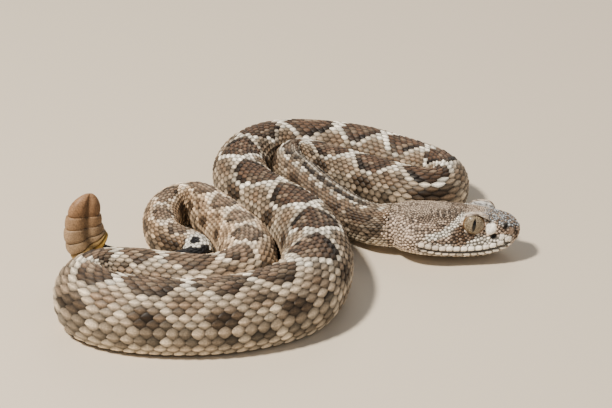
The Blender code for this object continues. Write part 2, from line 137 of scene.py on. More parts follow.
def linear(code):
    """An sRGB hex code as linear red, green and blue."""
    values = []
    for k in (1, 3, 5):
        value = int(code[k : k + 2], 16) / 255.0
        values.append(value / 12.92 if value <= 0.04045 else ((value + 0.055) / 1.055) ** 2.4)
    return tuple(values)


def colour_setting(name, code, description):
    return bpy.props.FloatVectorProperty(
        name=name, description=description, subtype="COLOR", size=3, min=0.0, max=1.0,
        default=linear(code),
    )


def length_setting(name, value, description):
    return bpy.props.FloatProperty(
        name=name, description=description, default=value, min=0.0, unit="LENGTH", precision=5
    )


class SnakeCoat(bpy.types.PropertyGroup):
    """Sizes of the skin, the scales and the belly scutes."""

    depth: length_setting("Coat depth", 0.00040, "How far the skin of the thickest stretch lies in")
    rise: bpy.props.FloatProperty(
        name="Scale rise", description="Height of a scale as a share of the coat's depth", default=1.1
    )
    spacing: bpy.props.FloatProperty(
        name="Scale spacing", description="Length of a scale as a share of the half width", default=0.29
    )
    head_spacing: length_setting("Head scale spacing", 0.00062, "Space between crown scales")


class SnakeColours(bpy.types.PropertyGroup):
    """Colours of the markings, and of the sky's painted reflection on the head."""

    ground: colour_setting("Ground", "#9f8f7c", "Grey-brown between the diamonds")
    tan: colour_setting("Tan", "#b39a7e", "Warmer ground of the rear of the body")
    diamond: colour_setting("Diamond", "#594537", "Inside of the diamonds")
    edge: colour_setting("Edge", "#150d07", "Dark edge of the diamonds")
    white: colour_setting("White", "#f4efe4", "White lines round the diamonds")
    pale: colour_setting("Pale", "#d6c9b6", "Pale scales between the marks")
    blotch: colour_setting("Blotch", "#5f4834", "Blotches of the flanks")
    belly: colour_setting("Belly", "#d8cbb6", "Belly scutes")
    head: colour_setting("Head", "#cbb6a4", "Pinkish grey of the head")
    head_dark: colour_setting("Head patch", "#513c2a", "Dark patch behind the eye")
    # Bluish grey of the sky's painted reflection on the brow shields and the snout's top.
    frost: colour_setting("Sky reflection", "#b9c2ca", "Bluish grey of the brow shields and the snout's top")
    tail_black: colour_setting("Tail black", "#121115", "Black bands of the tail")
    tail_white: colour_setting("Tail white", "#dddcd6", "White bands of the tail")


def curve_value(points, at):
    """Reads a profile of (place, value) pairs through a smooth curve."""
    if at <= points[0][0]:
        return points[0][1]
    if at >= points[-1][0]:
        return points[-1][1]
    last = len(points) - 1
    k = next(i for i in range(last) if at <= points[i + 1][0])
    (x1, v1), (x2, v2) = points[k], points[k + 1]
    x0, v0 = points[k - 1] if k > 0 else (x1 - (x2 - x1), v1 - (v2 - v1))
    x3, v3 = points[k + 2] if k + 2 <= last else (x2 + (x2 - x1), v2 + (v2 - v1))
    slope1 = (v2 - v0) / (x2 - x0)
    slope2 = (v3 - v1) / (x3 - x1)
    t = (at - x1) / (x2 - x1)
    span = x2 - x1
    return (
        (2 * t**3 - 3 * t**2 + 1) * v1
        + (t**3 - 2 * t**2 + t) * span * slope1
        + (3 * t**2 - 2 * t**3) * v2
        + (t**3 - t**2) * span * slope2
    )


def unit(vectors):
    return vectors / np.linalg.norm(vectors, axis=-1, keepdims=True)


def ramp(values, low, high):
    """A smooth step from 0 at low to 1 at high."""
    share = np.clip((values - low) / (high - low), 0.0, 1.0)
    return share * share * (3.0 - 2.0 * share)


def evened(rows, passes):
    """Rows smoothed along their first axis, with both ends kept."""
    rows = rows.copy()
    for _ in range(passes):
        rows[1:-1] = (rows[:-2] + 2.0 * rows[1:-1] + rows[2:]) / 4.0
    return rows


def mixed(base, colour, share):
    """Rows of colours, each mixed towards one colour by its share."""
    share = np.asarray(share)[..., None]
    return base * (1.0 - share) + np.asarray(colour) * share


def bell(values, centre, width):
    """A soft hump that is 1 at its centre."""
    return np.exp(-(((values - centre) / width) ** 2))


def turned(first, second, angle):
    """Two directions at right angles, turned together from the first towards the second."""
    return (
        first * np.cos(angle) + second * np.sin(angle),
        second * np.cos(angle) - first * np.sin(angle),
    )


def smooth_line(points):
    """Rows of a given line, evenly spaced and evened out, with their spacing and its length."""
    marks = [0.0]
    for a, b in zip(points, points[1:]):
        marks.append(marks[-1] + math.dist(a[:3], b[:3]))
    length = marks[-1]
    count = round(length / ROUTE_STEP)
    step = length / count
    columns = [list(zip(marks, column)) for column in zip(*points)]
    rows = np.array([[curve_value(c, k * step) for c in columns] for k in range(count + 1)])
    return evened(rows, round(2.0 * (ROUTE_EVENNESS / step) ** 2)), step, length


class Route:
    """The body's middle line, evened out, with its girth and its own forward, left and up."""

    def __init__(self, points):
        raised = [(x, y, lift + BELLY_DROP * half, half) for x, y, half, lift in points]
        rows, self.step, self.length = smooth_line(raised)
        lift = rows[:, 2] - BELLY_DROP * rows[:, 3]
        rows[:, 2] -= np.where(lift < LEAST_LIFT, lift, 0.0)
        forward = unit(np.gradient(evened(rows[:, :3], 4), axis=0))
        forward[:, 2] *= ramp(np.abs(forward[:, 2]), *LEVEL_CLIMB)
        forward = unit(forward)
        left = unit(np.cross((0.0, 0.0, 1.0), forward))
        up = np.cross(forward, left)
        lean = HEAD_ROLL * (1.0 - ramp(np.arange(len(rows)) * self.step, 0.0, ROLL_REACH))
        left, up = turned(left, up, lean[:, None])
        self.table = np.hstack([rows, forward, left, up, self.bend_rooms(rows, left)])

    def bend_rooms(self, rows, left):
        """Room to the left and the right of each row before another stretch of the bend is met."""
        rooms = []
        window = round(BEND_SPAN / self.step)
        for k in range(len(rows)):
            away = rows[max(k - window, 0) : k + window, :2] - rows[k, :2]
            square = (away**2).sum(axis=1)
            across = away @ left[k, :2]
            for side in (1.0, -1.0):
                facing = (side * across > 0.01) & (square > 1.0)
                reach = square[facing] / (2.0 * side * across[facing])
                rooms.append(reach.min(initial=BEND_SPAN))
        return evened(np.array(rooms).reshape(-1, 2), 6)

    def read(self, marks):
        """Middle, half width, left, up and rooms at each mark."""
        place = np.clip(marks / self.step, 0.0, len(self.table) - 1.001)
        k = place.astype(int)
        share = (place - k)[..., None]
        row = self.table[k] * (1.0 - share) + self.table[k + 1] * share
        return row[..., :3], row[..., 3], row[..., 7:10], row[..., 10:13], row[..., 13:]

    def shell(self, marks, angles):
        """Points of the solid's outline, at angles from the back's middle to the body's left."""
        middle, half, left, up, rooms = self.read(marks)
        side, rise = np.sin(angles), np.cos(angles)
        room = BEND_SHARE * np.where(side > 0.0, rooms[..., 0], rooms[..., 1])
        wide = half * room / (half**4 + room**4) ** 0.25 * side
        flat = np.minimum(1.0, (np.maximum(-rise, 0.0) / BELLY_FLAT) ** BELLY_SOFT)
        high = np.where(rise >= 0.0, half * rise, -BELLY_DROP * half * flat)
        return middle + left * wide[..., None] + up * high[..., None]

    def place(self, marks, angles, lift):
        """Points over the solid's outline by a lift, or inside it by a negative one."""
        marks, angles, lift = np.broadcast_arrays(marks, angles, lift)
        ahead, turn = SURFACE_STEPS
        along = self.shell(marks + ahead, angles) - self.shell(marks - ahead, angles)
        across = self.shell(marks, angles + turn) - self.shell(marks, angles - turn)
        normal = np.cross(along, across)
        normal /= np.maximum(np.linalg.norm(normal, axis=-1, keepdims=True), 1e-6)
        return self.shell(marks, angles) + normal * lift[..., None]


def head_frame():
    """The head's forward, left and up, turned by its yaw and rolled away on its right."""
    forward = np.array((math.cos(HEAD_YAW), math.sin(HEAD_YAW), 0.0))
    flat = np.array((-forward[1], forward[0], 0.0))
    left = flat * math.cos(HEAD_ROLL) - np.array((0.0, 0.0, 1.0)) * math.sin(HEAD_ROLL)
    return np.array((forward, left, np.cross(forward, left)))


def from_head(points):
    return HEAD_FOOT + points @ head_frame()


def to_head(points):
    return (points - HEAD_FOOT) @ head_frame().T


def head_profile(x):
    """The head's half section at x: crown, brow, temple, cheek, lips, jaw and chin."""
    wide = curve_value(HALF_WIDTH, x)
    crown = curve_value(CROWN_HEIGHT, x)
    brow = curve_value(BROW_HALF, x)
    low = curve_value(JAW_BOTTOM, x)
    mouth = curve_value(MOUTH_HEIGHT, x)
    groove = MOUTH_GROOVE * float(ramp(x, MOUTH_CORNER, MOUTH_CORNER + 3.0))
    cheek = 0.5 * (crown + mouth)
    return np.array((
        (0.0, crown),
        (0.55 * brow, crown - 0.05),
        (brow, crown - 0.7),
        (brow + 0.42 * (wide - brow), 0.72 * crown + 0.28 * cheek - 0.5),
        (brow + 0.82 * (wide - brow), cheek - 0.3),
        (wide, mouth + 1.9),
        (wide - 0.05, mouth + 0.28),
        (wide - 0.1 - groove, mouth),
        (wide - 0.3, mouth - 0.28),
        (0.87 * wide, low + 0.38 * (mouth - low)),
        (0.58 * wide, low + 0.06),
        (0.0, low),
    ))


def head_ring(x, shares):
    """Half section of the head at x, read at shares of the way round, as y and z."""
    places = head_profile(x)
    first = places[1] * (-1.0, 1.0)
    last = places[-2] * (-1.0, 1.0)
    places = np.vstack([first, places, last])
    at = np.interp(shares, AROUND_SHARES, np.arange(len(AROUND_SHARES)))
    k = np.clip(at.astype(int), 0, len(AROUND_SHARES) - 2)
    t = (at - k)[:, None]
    p0, p1, p2, p3 = places[k], places[k + 1], places[k + 2], places[k + 3]
    return 0.5 * (
        2.0 * p1
        + (p2 - p0) * t
        + (2.0 * p0 - 5.0 * p1 + 4.0 * p2 - p3) * t**2
        + (3.0 * p1 - p0 - 3.0 * p2 + p3) * t**3
    )


# The left eye's directions in the head's frame: out of it, forward along the head, and up.
EYE_OUT = unit(np.array((0.16, 0.97, -0.02)))
EYE_FORWARD = unit(np.array((1.0, 0.0, 0.0)) - EYE_OUT * EYE_OUT[0])
EYE_UP = np.cross(EYE_FORWARD, EYE_OUT)
# How far the socket's floor lies under the eye, and how high and how wide the lids rise round it.
SOCKET_SINK = 0.5
LID_RISE = 0.12
LID_WIDTH = 2.0


def sculpted(points):
    """Head points with the eye sockets, heat pits and nostrils pressed into them, on both sides."""
    side = np.where(points[:, 1] < 0.0, -1.0, 1.0)
    near = points.copy()
    near[:, 1] *= side
    away = near - EYE_PLACE
    out = away @ EYE_OUT
    off = np.linalg.norm(away - out[:, None] * EYE_OUT, axis=1)
    ball = np.sqrt(np.maximum(EYE_RADIUS**2 - off**2, 0.0))
    drawn = np.where(off < EYE_OPENING, np.minimum(out, ball - SOCKET_SINK), out)
    swell = 1.0 - ramp(off, EYE_OPENING, EYE_OPENING + LID_WIDTH)
    drawn = np.where(off >= EYE_OPENING, out + (LID_SEAT + LID_RISE - out) * swell, drawn)
    near += EYE_OUT * ((drawn - out) * ramp(out, -0.5, 0.8))[:, None]
    for place, radius, depth, rim in HOLLOWS:
        off = np.linalg.norm((near - place) * HOLLOW_STRETCH, axis=1)
        press = depth * np.exp(-((off / radius) ** 2) * 1.2)
        near[:, 1] += rim * bell(off, HOLLOW_RIM[0] * radius, HOLLOW_RIM[1] * radius) - press
    near[:, 1] *= side
    return near


# Marks along the body where two diamonds of the back meet in a white crossing.
CROSSINGS = np.array((
    -6, 3, 12, 21, 30, 40, 56, 71, 87, 104, 116, 132, 147, 164, 180, 196, 218, 240, 260, 281, 297,
    314, 333, 348, 358, 370, 386, 399, 414, 428, 441, 455, 468, 479, 488), float)
# The tail is white from its first mark, with black between each two of the later ones.
TAIL_START = 488.5
TAIL_BLACKS = np.array((496.5, 505.0, 507.0, 511.0, 513.0, 540.0))
# How far a tail band slants round the body, between which angles, and where the slant ends.
TAIL_SLANT = 3.3
TAIL_SLANT_ANGLES = (-0.7, 1.1)
TAIL_SLANT_END = (500.0, 506.0)
# A black spot in the first white band: its mark, angle, half length and half width.
TAIL_SPOT = (492.3, -0.28, 2.4, 0.42)

# Stretches of the body, as marks, over which its pattern changes.
NECK_LEAN_END = (38.0, 54.0)
NECK_SPOTS_START = (5.0, 11.0)
DIAMONDS_START = (40.0, 56.0)
CRISP_END = (262.0, 285.0)
PALE_START = (262.0, 290.0)
TAN_START = (340.0, 400.0)
CREAM_START = (350.0, 392.0)
# The next two give the stretch of the rear that painted light brightens.
LIT_STRETCH_START = (372.0, 392.0)
LIT_STRETCH_END = (476.0, 486.0)
LATE_START = (390.0, 400.0)
SOFT_START = (392.0, 410.0)

# The neck is a little darker, and painted light brightens a stretch of the rear. A scale's shade is
# uneven by chance, and a tint over the whole body takes away a little blue.
NECK_DIMMING = 0.1
PAINTED_LIGHT_GAIN = 0.26
SHADE_LEAST = 0.56
SHADE_CHANCE = 0.66
BODY_TINT = (0.96, 0.94, 0.90)

# Diamonds: half width in degrees on the neck, what the body and its crisp front add to it, how round
# their sides are (1 is straight, 2 a circle), and how ragged their outline is.
DIAMOND_DEGREES = (30.0, 12.0, 12.0)
DIAMOND_ROUND = 1.35
DIAMOND_RAGGED = 0.06
# Shares of the way out from a diamond's middle: its dark band, its end, and the white line's fade.
DIAMOND_BAND = (0.54, 0.66)
DIAMOND_END = 0.86
LINE_FADE = (1.0, 1.08)
# Spots of the flanks: colour, what they line up with, angle from the back, half length, half width,
# least strength, what chance adds to it and the kind of chance.
FLANK_SPOTS = (
    ("blotch", "crossing", 0.84, 4.4, 0.25, 0.5, 0.25, "flecked"),
    ("blotch", "diamond", 1.27, 4.2, 0.34, 0.75, 0.0, "flecked"),
    ("edge", "diamond", 1.27, 2.9, 0.25, 0.5, 0.42, "shaded"),
    ("edge", "crossing", 1.5, 2.0, 0.15, 0.55, 0.0, "shaded"),
    ("edge", "either", 1.86, 2.3, 0.2, 0.55, 0.35, "mottled"),
)
SPOT_FADE = (0.7, 1.25)
# The neck's pattern leans by this angle, and its dashes repeat at this spacing. Its dark spots and
# its rows of white beads each have an angle from the back and a half width.
NECK_LEAN = 0.20
NECK_DASH = 4.6
NECK_SPOTS = (0.33, 0.19)
NECK_BEADS = (0.6, 0.12)
NECK_MIDDLE = (0.0, 0.12)
# Angles from the back between which the flank turns into the belly.
BELLY_EDGE = (2.1, 2.45)

# Lines along the head: x places, and the height, thickness or strength at each.
CROWN_RAIL = ((7.5, 12.7, 20.7), (10.1, 11.1, 12.4))
CHEEK_RAIL = ((10.0, 13.0, 17.0), (7.6, 8.2, 9.8))
STRIPE_HEIGHT = ((11.5, 14.8, 17.2, 21.6), (6.0, 6.5, 7.9, 12.0))
STRIPE_THICKNESS = ((11.5, 15.5, 17.5, 21.5), (0.8, 1.1, 1.5, 1.35))
LIP_TOP = ((9.0, 20.0, 22.0, 27.7, 35.0), (4.4, 4.4, 7.2, 6.2, 6.4))
LIP_STRENGTH = ((8.0, 19.0, 22.0, 33.0, 35.5), (0.45, 0.5, 0.9, 0.75, 0.5))
RAIL_HALF = 0.8
# Dark patches under and behind the eye: x, z, half length and half height.
EYE_PATCHES = ((20.6, 5.6, 2.7, 2.3), (20.6, 8.0, 1.5, 1.9), (23.4, 6.1, 1.7, 1.0))
CHEEK_LINE_HEIGHT = 4.9
# Painted shadow, in black, inside the heat pit and the nostril: place, radius and stretch along each
# axis.
HOLLOW_SHADOWS = ((PIT_PLACE, 1.15, (1.0, 0.5, 1.0)), (NOSTRIL_PLACE, 0.9, (1.9, 0.5, 0.9)))


class Markings:
    """Where the colours lie on the body and the head."""

    def __init__(self, colours):
        self.tones = {key: np.array(getattr(colours, key)) for key in SnakeColours.__annotations__}

    def body(self, marks, angles, grain):
        """Colours of the body at marks and angles; grain is random for each place."""
        tones = self.tones
        lean = NECK_LEAN * (1.0 - ramp(marks, *NECK_LEAN_END))
        turn = np.abs((angles + lean + np.pi) % (2.0 * np.pi) - np.pi)
        k = np.clip(np.searchsorted(CROSSINGS, marks) - 1, 0, len(CROSSINGS) - 2)
        low, high = CROSSINGS[k], CROSSINGS[k + 1]
        reach = (high - low) / 2.0
        off = (marks - (high + low) / 2.0) / reach
        near = np.minimum(marks - low, high - marks)
        adult = ramp(marks, *DIAMONDS_START)
        late = ramp(marks, *LATE_START)
        colour = mixed(tones["ground"], tones["tan"], ramp(marks, *TAN_START))
        light = 0.45 * (grain[1] > 0.62) * (grain[0] > 0.3) + 0.3 * ramp(marks, *PALE_START)
        colour = mixed(colour, tones["pale"], light * (1.0 - 0.6 * late))
        colour = self.flanks(colour, turn, near, np.abs(off * reach), grain)
        colour, white = self.diamonds(colour, marks, turn, off, near, adult, late, grain)
        colour = self.neck(colour, marks, turn, 1.0 - adult, grain)
        colour = mixed(colour, tones["edge"], (grain[1] < 0.09) * 0.6 * (1.0 - white))
        tail = self.tail(marks, angles, grain)
        colour = np.where(marks[..., None] > TAIL_START, tail, colour)
        under = ramp(turn, *BELLY_EDGE)
        colour = mixed(colour, tones["belly"], under * (marks < TAIL_START))
        # Painted light brightens a stretch of the rear of the body.
        lit_stretch = ramp(marks, *LIT_STRETCH_START) * (1.0 - ramp(marks, *LIT_STRETCH_END))
        lit = 1.0 - NECK_DIMMING * (1.0 - adult) + PAINTED_LIGHT_GAIN * lit_stretch
        shade = lit * (SHADE_LEAST + SHADE_CHANCE * grain[2])
        return colour * shade[..., None] * BODY_TINT

    def flanks(self, colour, turn, near, centre, grain):
        """Adds the spots of the flanks, which line up with the diamonds of the back."""
        along = {"crossing": near, "diamond": centre, "either": np.minimum(centre, near)}
        chance = {"flecked": grain[2] > 0.4, "shaded": grain[2], "mottled": grain[1]}
        for tone, place, around, long, wide, least, more, kind in FLANK_SPOTS:
            gap = np.hypot(along[place] / long, (turn - around) / wide)
            share = (least + more * chance[kind]) * (1.0 - ramp(gap, *SPOT_FADE))
            colour = mixed(colour, self.tones[tone], share)
        return colour

    def diamonds(self, colour, marks, turn, off, near, adult, late, grain):
        """Adds the diamonds with their dark bands and white lines, and gives the white's share."""
        tones = self.tones
        rear = ramp(off, -0.15, 0.15)
        front = 1.0 - ramp(marks, *CRISP_END)
        strong = 0.6 + 0.4 * front - 0.1 * ramp(marks, *SOFT_START)
        least, more, crisp = DIAMOND_DEGREES
        wide = np.radians(least + more * adult + crisp * adult * front)
        shape = (np.abs(off) ** DIAMOND_ROUND + (turn / wide) ** DIAMOND_ROUND) ** (1.0 / DIAMOND_ROUND)
        shape = shape + DIAMOND_RAGGED * (grain[0] - 0.5)
        inside = shape < DIAMOND_END
        fade = 0.35 * (grain[1] < 0.3) + 0.5 * (1.0 - strong)
        diamond = mixed(tones["diamond"], tones["ground"], fade)
        colour = mixed(colour, diamond, inside * (0.5 + 0.5 * adult))
        band = ramp(shape, *DIAMOND_BAND) * inside
        side = ramp(turn, 0.08, 0.4)
        share = (0.5 + 0.5 * side) * (1.0 - 0.3 * rear) * (0.55 + 0.45 * strong) * (grain[0] > 0.12)
        colour = mixed(colour, tones["edge"], 0.95 * band * share)
        line = (shape >= DIAMOND_END) * (1.0 - ramp(shape, *LINE_FADE))
        line = line * (0.3 + 0.7 * rear) * (0.25 + 0.75 * front + 0.3 * late)
        cross = (near < 0.9 + 0.5 * strong) * (turn < 0.5) * (0.7 + 0.28 * front)
        white = np.maximum(line, cross) * adult
        cream = mixed(tones["white"], tones["tan"], 0.35 * ramp(marks, *CREAM_START))
        return mixed(colour, cream, white), white

    def neck(self, colour, marks, turn, young, grain):
        """Adds the neck's rows of dark spots and white beads."""
        tones = self.tones
        colour = mixed(colour, tones["diamond"], 0.22 * young)
        dash = np.cos(2.0 * np.pi * marks / NECK_DASH)
        spots = bell(turn, *NECK_SPOTS) * (0.4 + 0.6 * (dash > -0.1))
        dark = np.minimum(1.5 * spots, 0.97) * young * ramp(marks, *NECK_SPOTS_START)
        colour = mixed(colour, tones["edge"], dark)
        beads = bell(turn, *NECK_BEADS) * (dash < 0.1) + 0.6 * bell(turn, *NECK_MIDDLE)
        return mixed(colour, tones["white"], 0.85 * beads * young * (grain[0] > 0.25))

    def tail(self, marks, angles, grain):
        """Black and white bands of the tail."""
        slant = TAIL_SLANT * np.clip(angles, *TAIL_SLANT_ANGLES) * (1.0 - ramp(marks, *TAIL_SLANT_END))
        black = np.searchsorted(TAIL_BLACKS, marks + slant + 0.8 * (grain[0] - 0.5)) % 2
        at, around, long, wide = TAIL_SPOT
        black = np.maximum(black, np.hypot((marks - at) / long, (angles - around) / wide) < 1.0)
        return np.where(black[..., None] == 1, self.tones["tail_black"], self.tones["tail_white"])

    def head(self, points, grain):
        """Colours of the head at points in its own frame."""
        tones = self.tones
        x, y, z = points[..., 0], np.abs(points[..., 1]), points[..., 2]
        crown = ramp(z, 9.6, 11.4)
        colour = np.broadcast_to(tones["head"], x.shape + (3,))
        colour = mixed(colour, tones["ground"], 0.55 * crown)
        on_crown_rail = np.abs(z - np.interp(x, *CROWN_RAIL)) < RAIL_HALF
        on_cheek_rail = np.abs(z - np.interp(x, *CHEEK_RAIL)) < RAIL_HALF
        specks = 0.16 + 0.5 * on_crown_rail * (x < 21.5) * (x > 6.0)
        specks = specks + 0.35 * on_cheek_rail * (x > 9.0) * (x < 18.0)
        speck = (grain[0] < specks) * ramp(z, 5.5, 8.5)
        colour = mixed(colour, tones["head_dark"], 0.62 * speck)
        waves = np.sin(1.9 * x + 1.3 * z) * np.sin(2.3 * z - 1.6 * x + 0.9 * y)
        freckle = ramp(waves, 0.5, 0.68) * ramp(z, 6.0, 8.0)
        freckle = freckle * (1.0 - ramp(x, 19.0, 23.0)) * ramp(x, 0.0, 3.0)
        colour = mixed(colour, tones["edge"], 0.66 * freckle)
        front = ramp(x, 29.5, 33.0) * ramp(z, 4.6, 6.4)
        colour = mixed(colour, tones["blotch"], front * (0.3 + 0.5 * grain[0]))
        # Painted reflection of the sky on the top of the snout, with dark flecks of the pattern among it.
        bridge = ramp(x, 25.5, 28.0) * ramp(z + 0.35 * (x - 28.0), 10.4, 11.6)
        colour = mixed(colour, tones["frost"], 0.75 * bridge * (grain[1] > 0.3))
        colour = mixed(colour, tones["head_dark"], 0.75 * bridge * (grain[0] < 0.22))
        colour = self.face(colour, x, y, z, grain)
        colour = mixed(colour, tones["belly"], 1.0 - ramp(z, 0.6, 1.8))
        colour = colour * (0.78 + 0.72 * grain[2])[..., None] * (1.0 - 0.14 * crown)[..., None]
        # Painted shadow, in black, deep in the heat pit and the nostril.
        for place, radius, shape in HOLLOW_SHADOWS:
            off = np.linalg.norm((np.stack([x, y, z], -1) - place) * shape, axis=-1)
            colour = mixed(colour, tones["tail_black"], 0.93 * (1.0 - ramp(off, 0.55 * radius, radius)))
        return colour

    def face(self, colour, x, y, z, grain):
        """Adds the pale stripe of the cheek, the dark patches by the eye and the pale lips."""
        tones = self.tones
        side = ramp(y, 3.5, 6.0)
        thick = np.interp(x, *STRIPE_THICKNESS)
        stripe = 1.0 - ramp(np.abs(z - np.interp(x, *STRIPE_HEIGHT)), 0.8 * thick, 1.15 * thick)
        stripe *= ramp(x, 10.6, 12.0) * (1.0 - ramp(x, 21.4, 22.4)) * side
        colour = mixed(colour, tones["white"], 0.92 * stripe)
        line = (1.0 - ramp(np.abs(z - CHEEK_LINE_HEIGHT), 0.35, 0.8)) * ramp(x, 12.2, 13.2)
        patch = 0.8 * line * (1.0 - ramp(x, 17.5, 18.5))
        for at, high, long, tall in EYE_PATCHES:
            patch = np.maximum(patch, 1.0 - ramp(np.hypot((x - at) / long, (z - high) / tall), 0.8, 1.1))
        patch = patch * side * (1.0 - stripe)
        colour = mixed(colour, tones["head_dark"], patch * (0.62 + 0.38 * grain[1]))
        top = np.interp(x, *LIP_TOP)
        lips = (1.0 - ramp(z, top, top + 0.7)) * ramp(y, 3.0, 5.0) * ramp(x, 8.0, 11.0)
        lips *= (1.0 - patch) * np.interp(x, *LIP_STRENGTH)
        return mixed(colour, tones["white"], np.minimum(1.25 * lips, 1.0) * (0.8 + 0.2 * grain[1]))


# Strips that the body's unwrap is folded into, and the size of one scale's patch in an unwrap.
UV_STRIPS = 10.0
UV_PATCH = 0.003
# Height in the head that its unwrap turns round, and the length and the turn that fill it.
HEAD_MIDDLE = 6.0
HEAD_UV_LENGTH = 40.0
HEAD_UV_TURN = 6.6
UV_MARGIN = 0.04


def strip_uv(marks, angles, length):
    """The body's own unwrap: its length folded into strips laid one over another."""
    share = np.clip((marks + HEAD_LENGTH) / (length + HEAD_LENGTH), 0.0, 0.99999) * UV_STRIPS
    strip = np.floor(share)
    turn = (angles + np.pi) % (2.0 * np.pi) / (2.0 * np.pi)
    return np.stack([0.01 + 0.98 * (share - strip), (strip + 0.02 + 0.96 * turn) / UV_STRIPS], -1)


def head_uv(places):
    """The head's own unwrap: forward along it, and round it from under the chin."""
    turn = np.arctan2(places[..., 1], places[..., 2] - HEAD_MIDDLE)
    return np.stack([places[..., 0] / HEAD_UV_LENGTH + UV_MARGIN, 0.5 + turn / HEAD_UV_TURN], -1)


def patch_uv(roots, template):
    """Small patches of an unwrap, one for each scale, from the template's places."""
    patch = template[:, :2] * (1.0, 0.5) * UV_PATCH
    return (roots[:, None, :] + patch).reshape(-1, 2)


def linked_object(name, data, shader):
    """A smooth object at the origin from a finished mesh and its material."""
    data.polygons.foreach_set("use_smooth", np.ones(len(data.polygons), bool))
    data.update()
    data.materials.append(shader)
    made = bpy.data.objects.new(name, data)
    bpy.context.scene.collection.objects.link(made)
    return made


def mesh_object(name, points, faces, shader, colours=None, uvs=None):
    """An object from millimetre points and faces, with a colour and a place in the unwrap for each."""
    data = bpy.data.meshes.new(name)
    data.from_pydata((np.asarray(points) * MM).tolist(), [], faces)
    if colours is not None:
        layer = data.color_attributes.new("markings", "FLOAT_COLOR", "POINT")
        rows = np.ones((len(points), 4), np.float32)
        rows[:, :3] = colours
        layer.data.foreach_set("color", rows.ravel())
    if uvs is not None:
        corners = np.zeros(len(data.loops), np.int32)
        data.loops.foreach_get("vertex_index", corners)
        layer = data.uv_layers.new(name="OFBake")
        layer.data.foreach_set("uv", np.asarray(uvs, np.float32)[corners].ravel())
    return linked_object(name, data, shader)


def grid_faces(rows, columns, closed):
    """Quads between rings of points, joined round where closed."""
    faces = []
    last = columns if closed else columns - 1
    for r in range(rows - 1):
        for c in range(last):
            d = (c + 1) % columns
            faces.append((r * columns + c, (r + 1) * columns + c, (r + 1) * columns + d, r * columns + d))
    return faces


def node(tree, kind, inputs=None, **settings):
    """Adds a shader node with its settings, and fills its inputs with links or values."""
    made = tree.nodes.new(kind)
    for key, value in settings.items():
        setattr(made, key, value)
    for key, source in (inputs or {}).items():
        if isinstance(source, bpy.types.NodeSocket):
            tree.links.new(source, made.inputs[key])
        else:
            made.inputs[key].default_value = source
    return made


def shader_material(name, values):
    """A new material, its nodes and its surface shader, with values on the shader's own sockets."""
    made = bpy.data.materials.new(name)
    made.use_nodes = True
    shader = made.node_tree.nodes["Principled BSDF"]
    for key, value in values.items():
        shader.inputs[key].default_value = value
    return made, made.node_tree, shader


# Grains, patches and fine lines along a millimetre of keratin, and the depth of its relief.
GRAINS_PER_MM = 2.6
PATCHES_PER_MM = 0.42
LINES_PER_MM = 3.4
RELIEF_DEPTH = 0.1


def keratin_material(name, roughness, relief):
    """Keratin with painted markings, uneven in fine grains and soft patches, with a fine relief."""
    made, tree, shader = shader_material(name, {"Specular IOR Level": 0.24})
    where = node(tree, "ShaderNodeTexCoord").outputs["Object"]
    noises = []
    for count, detail in ((GRAINS_PER_MM, 3.0), (PATCHES_PER_MM, 2.0), (LINES_PER_MM, 2.0)):
        inputs = {"Vector": where, "Scale": count / MM, "Detail": detail}
        noises.append(node(tree, "ShaderNodeTexNoise", inputs).outputs["Fac"])
    grain, patch, lines = noises
    shades = []
    for noise, darkest, lightest in ((grain, 0.66, 1.32), (patch, 0.84, 1.16)):
        inputs = {"Value": noise, "From Min": 0.3, "From Max": 0.7, "To Min": darkest, "To Max": lightest}
        shades.append(node(tree, "ShaderNodeMapRange", inputs).outputs["Result"])
    shade = node(tree, "ShaderNodeMath", {0: shades[0], 1: shades[1]}, operation="MULTIPLY")
    marks = node(tree, "ShaderNodeAttribute", attribute_name="markings")
    inputs = {0: marks.outputs["Color"], "Scale": shade.outputs["Value"]}
    tint = node(tree, "ShaderNodeVectorMath", inputs, operation="SCALE")
    tree.links.new(tint.outputs["Vector"], shader.inputs["Base Color"])
    inputs = {"Value": patch, "To Min": roughness - 0.08, "To Max": roughness + 0.1}
    rough = node(tree, "ShaderNodeMapRange", inputs)
    tree.links.new(rough.outputs["Result"], shader.inputs["Roughness"])
    inputs = {"Height": lines, "Strength": relief, "Distance": RELIEF_DEPTH * MM}
    bump = node(tree, "ShaderNodeBump", inputs)
    tree.links.new(bump.outputs["Normal"], shader.inputs["Normal"])
    return made


# Rows of a keeled scale from its root to its tip, as shares of its size: place along, half width
# and height. Its columns: place across, height and tint, the tint being a painted highlight on the
# keel and painted shade towards the edges.
SCALE_ROWS = ((-0.50, 0.22, 0.0), (-0.38, 0.50, 0.34), (-0.20, 0.76, 0.66), (0.02, 0.86, 0.88),
              (0.24, 0.76, 1.0), (0.42, 0.50, 1.0), (0.53, 0.24, 0.86))
SCALE_TIP = (0.58, 0.30)
SCALE_COLUMNS = ((-1.0, 0.0, 0.03), (-0.76, 0.50, 0.52), (-0.34, 0.68, 0.98), (0.0, 0.76, 1.56),
                 (0.34, 0.68, 0.98), (0.76, 0.50, 0.52), (1.0, 0.0, 0.03))
KEEL = 0.4
# The root is shaded by its neighbours down to this tint, and clear of them after so many rows.
ROOT_TINT = 0.16
ROOT_ROWS = 3.0
TINT_GAIN = 0.92


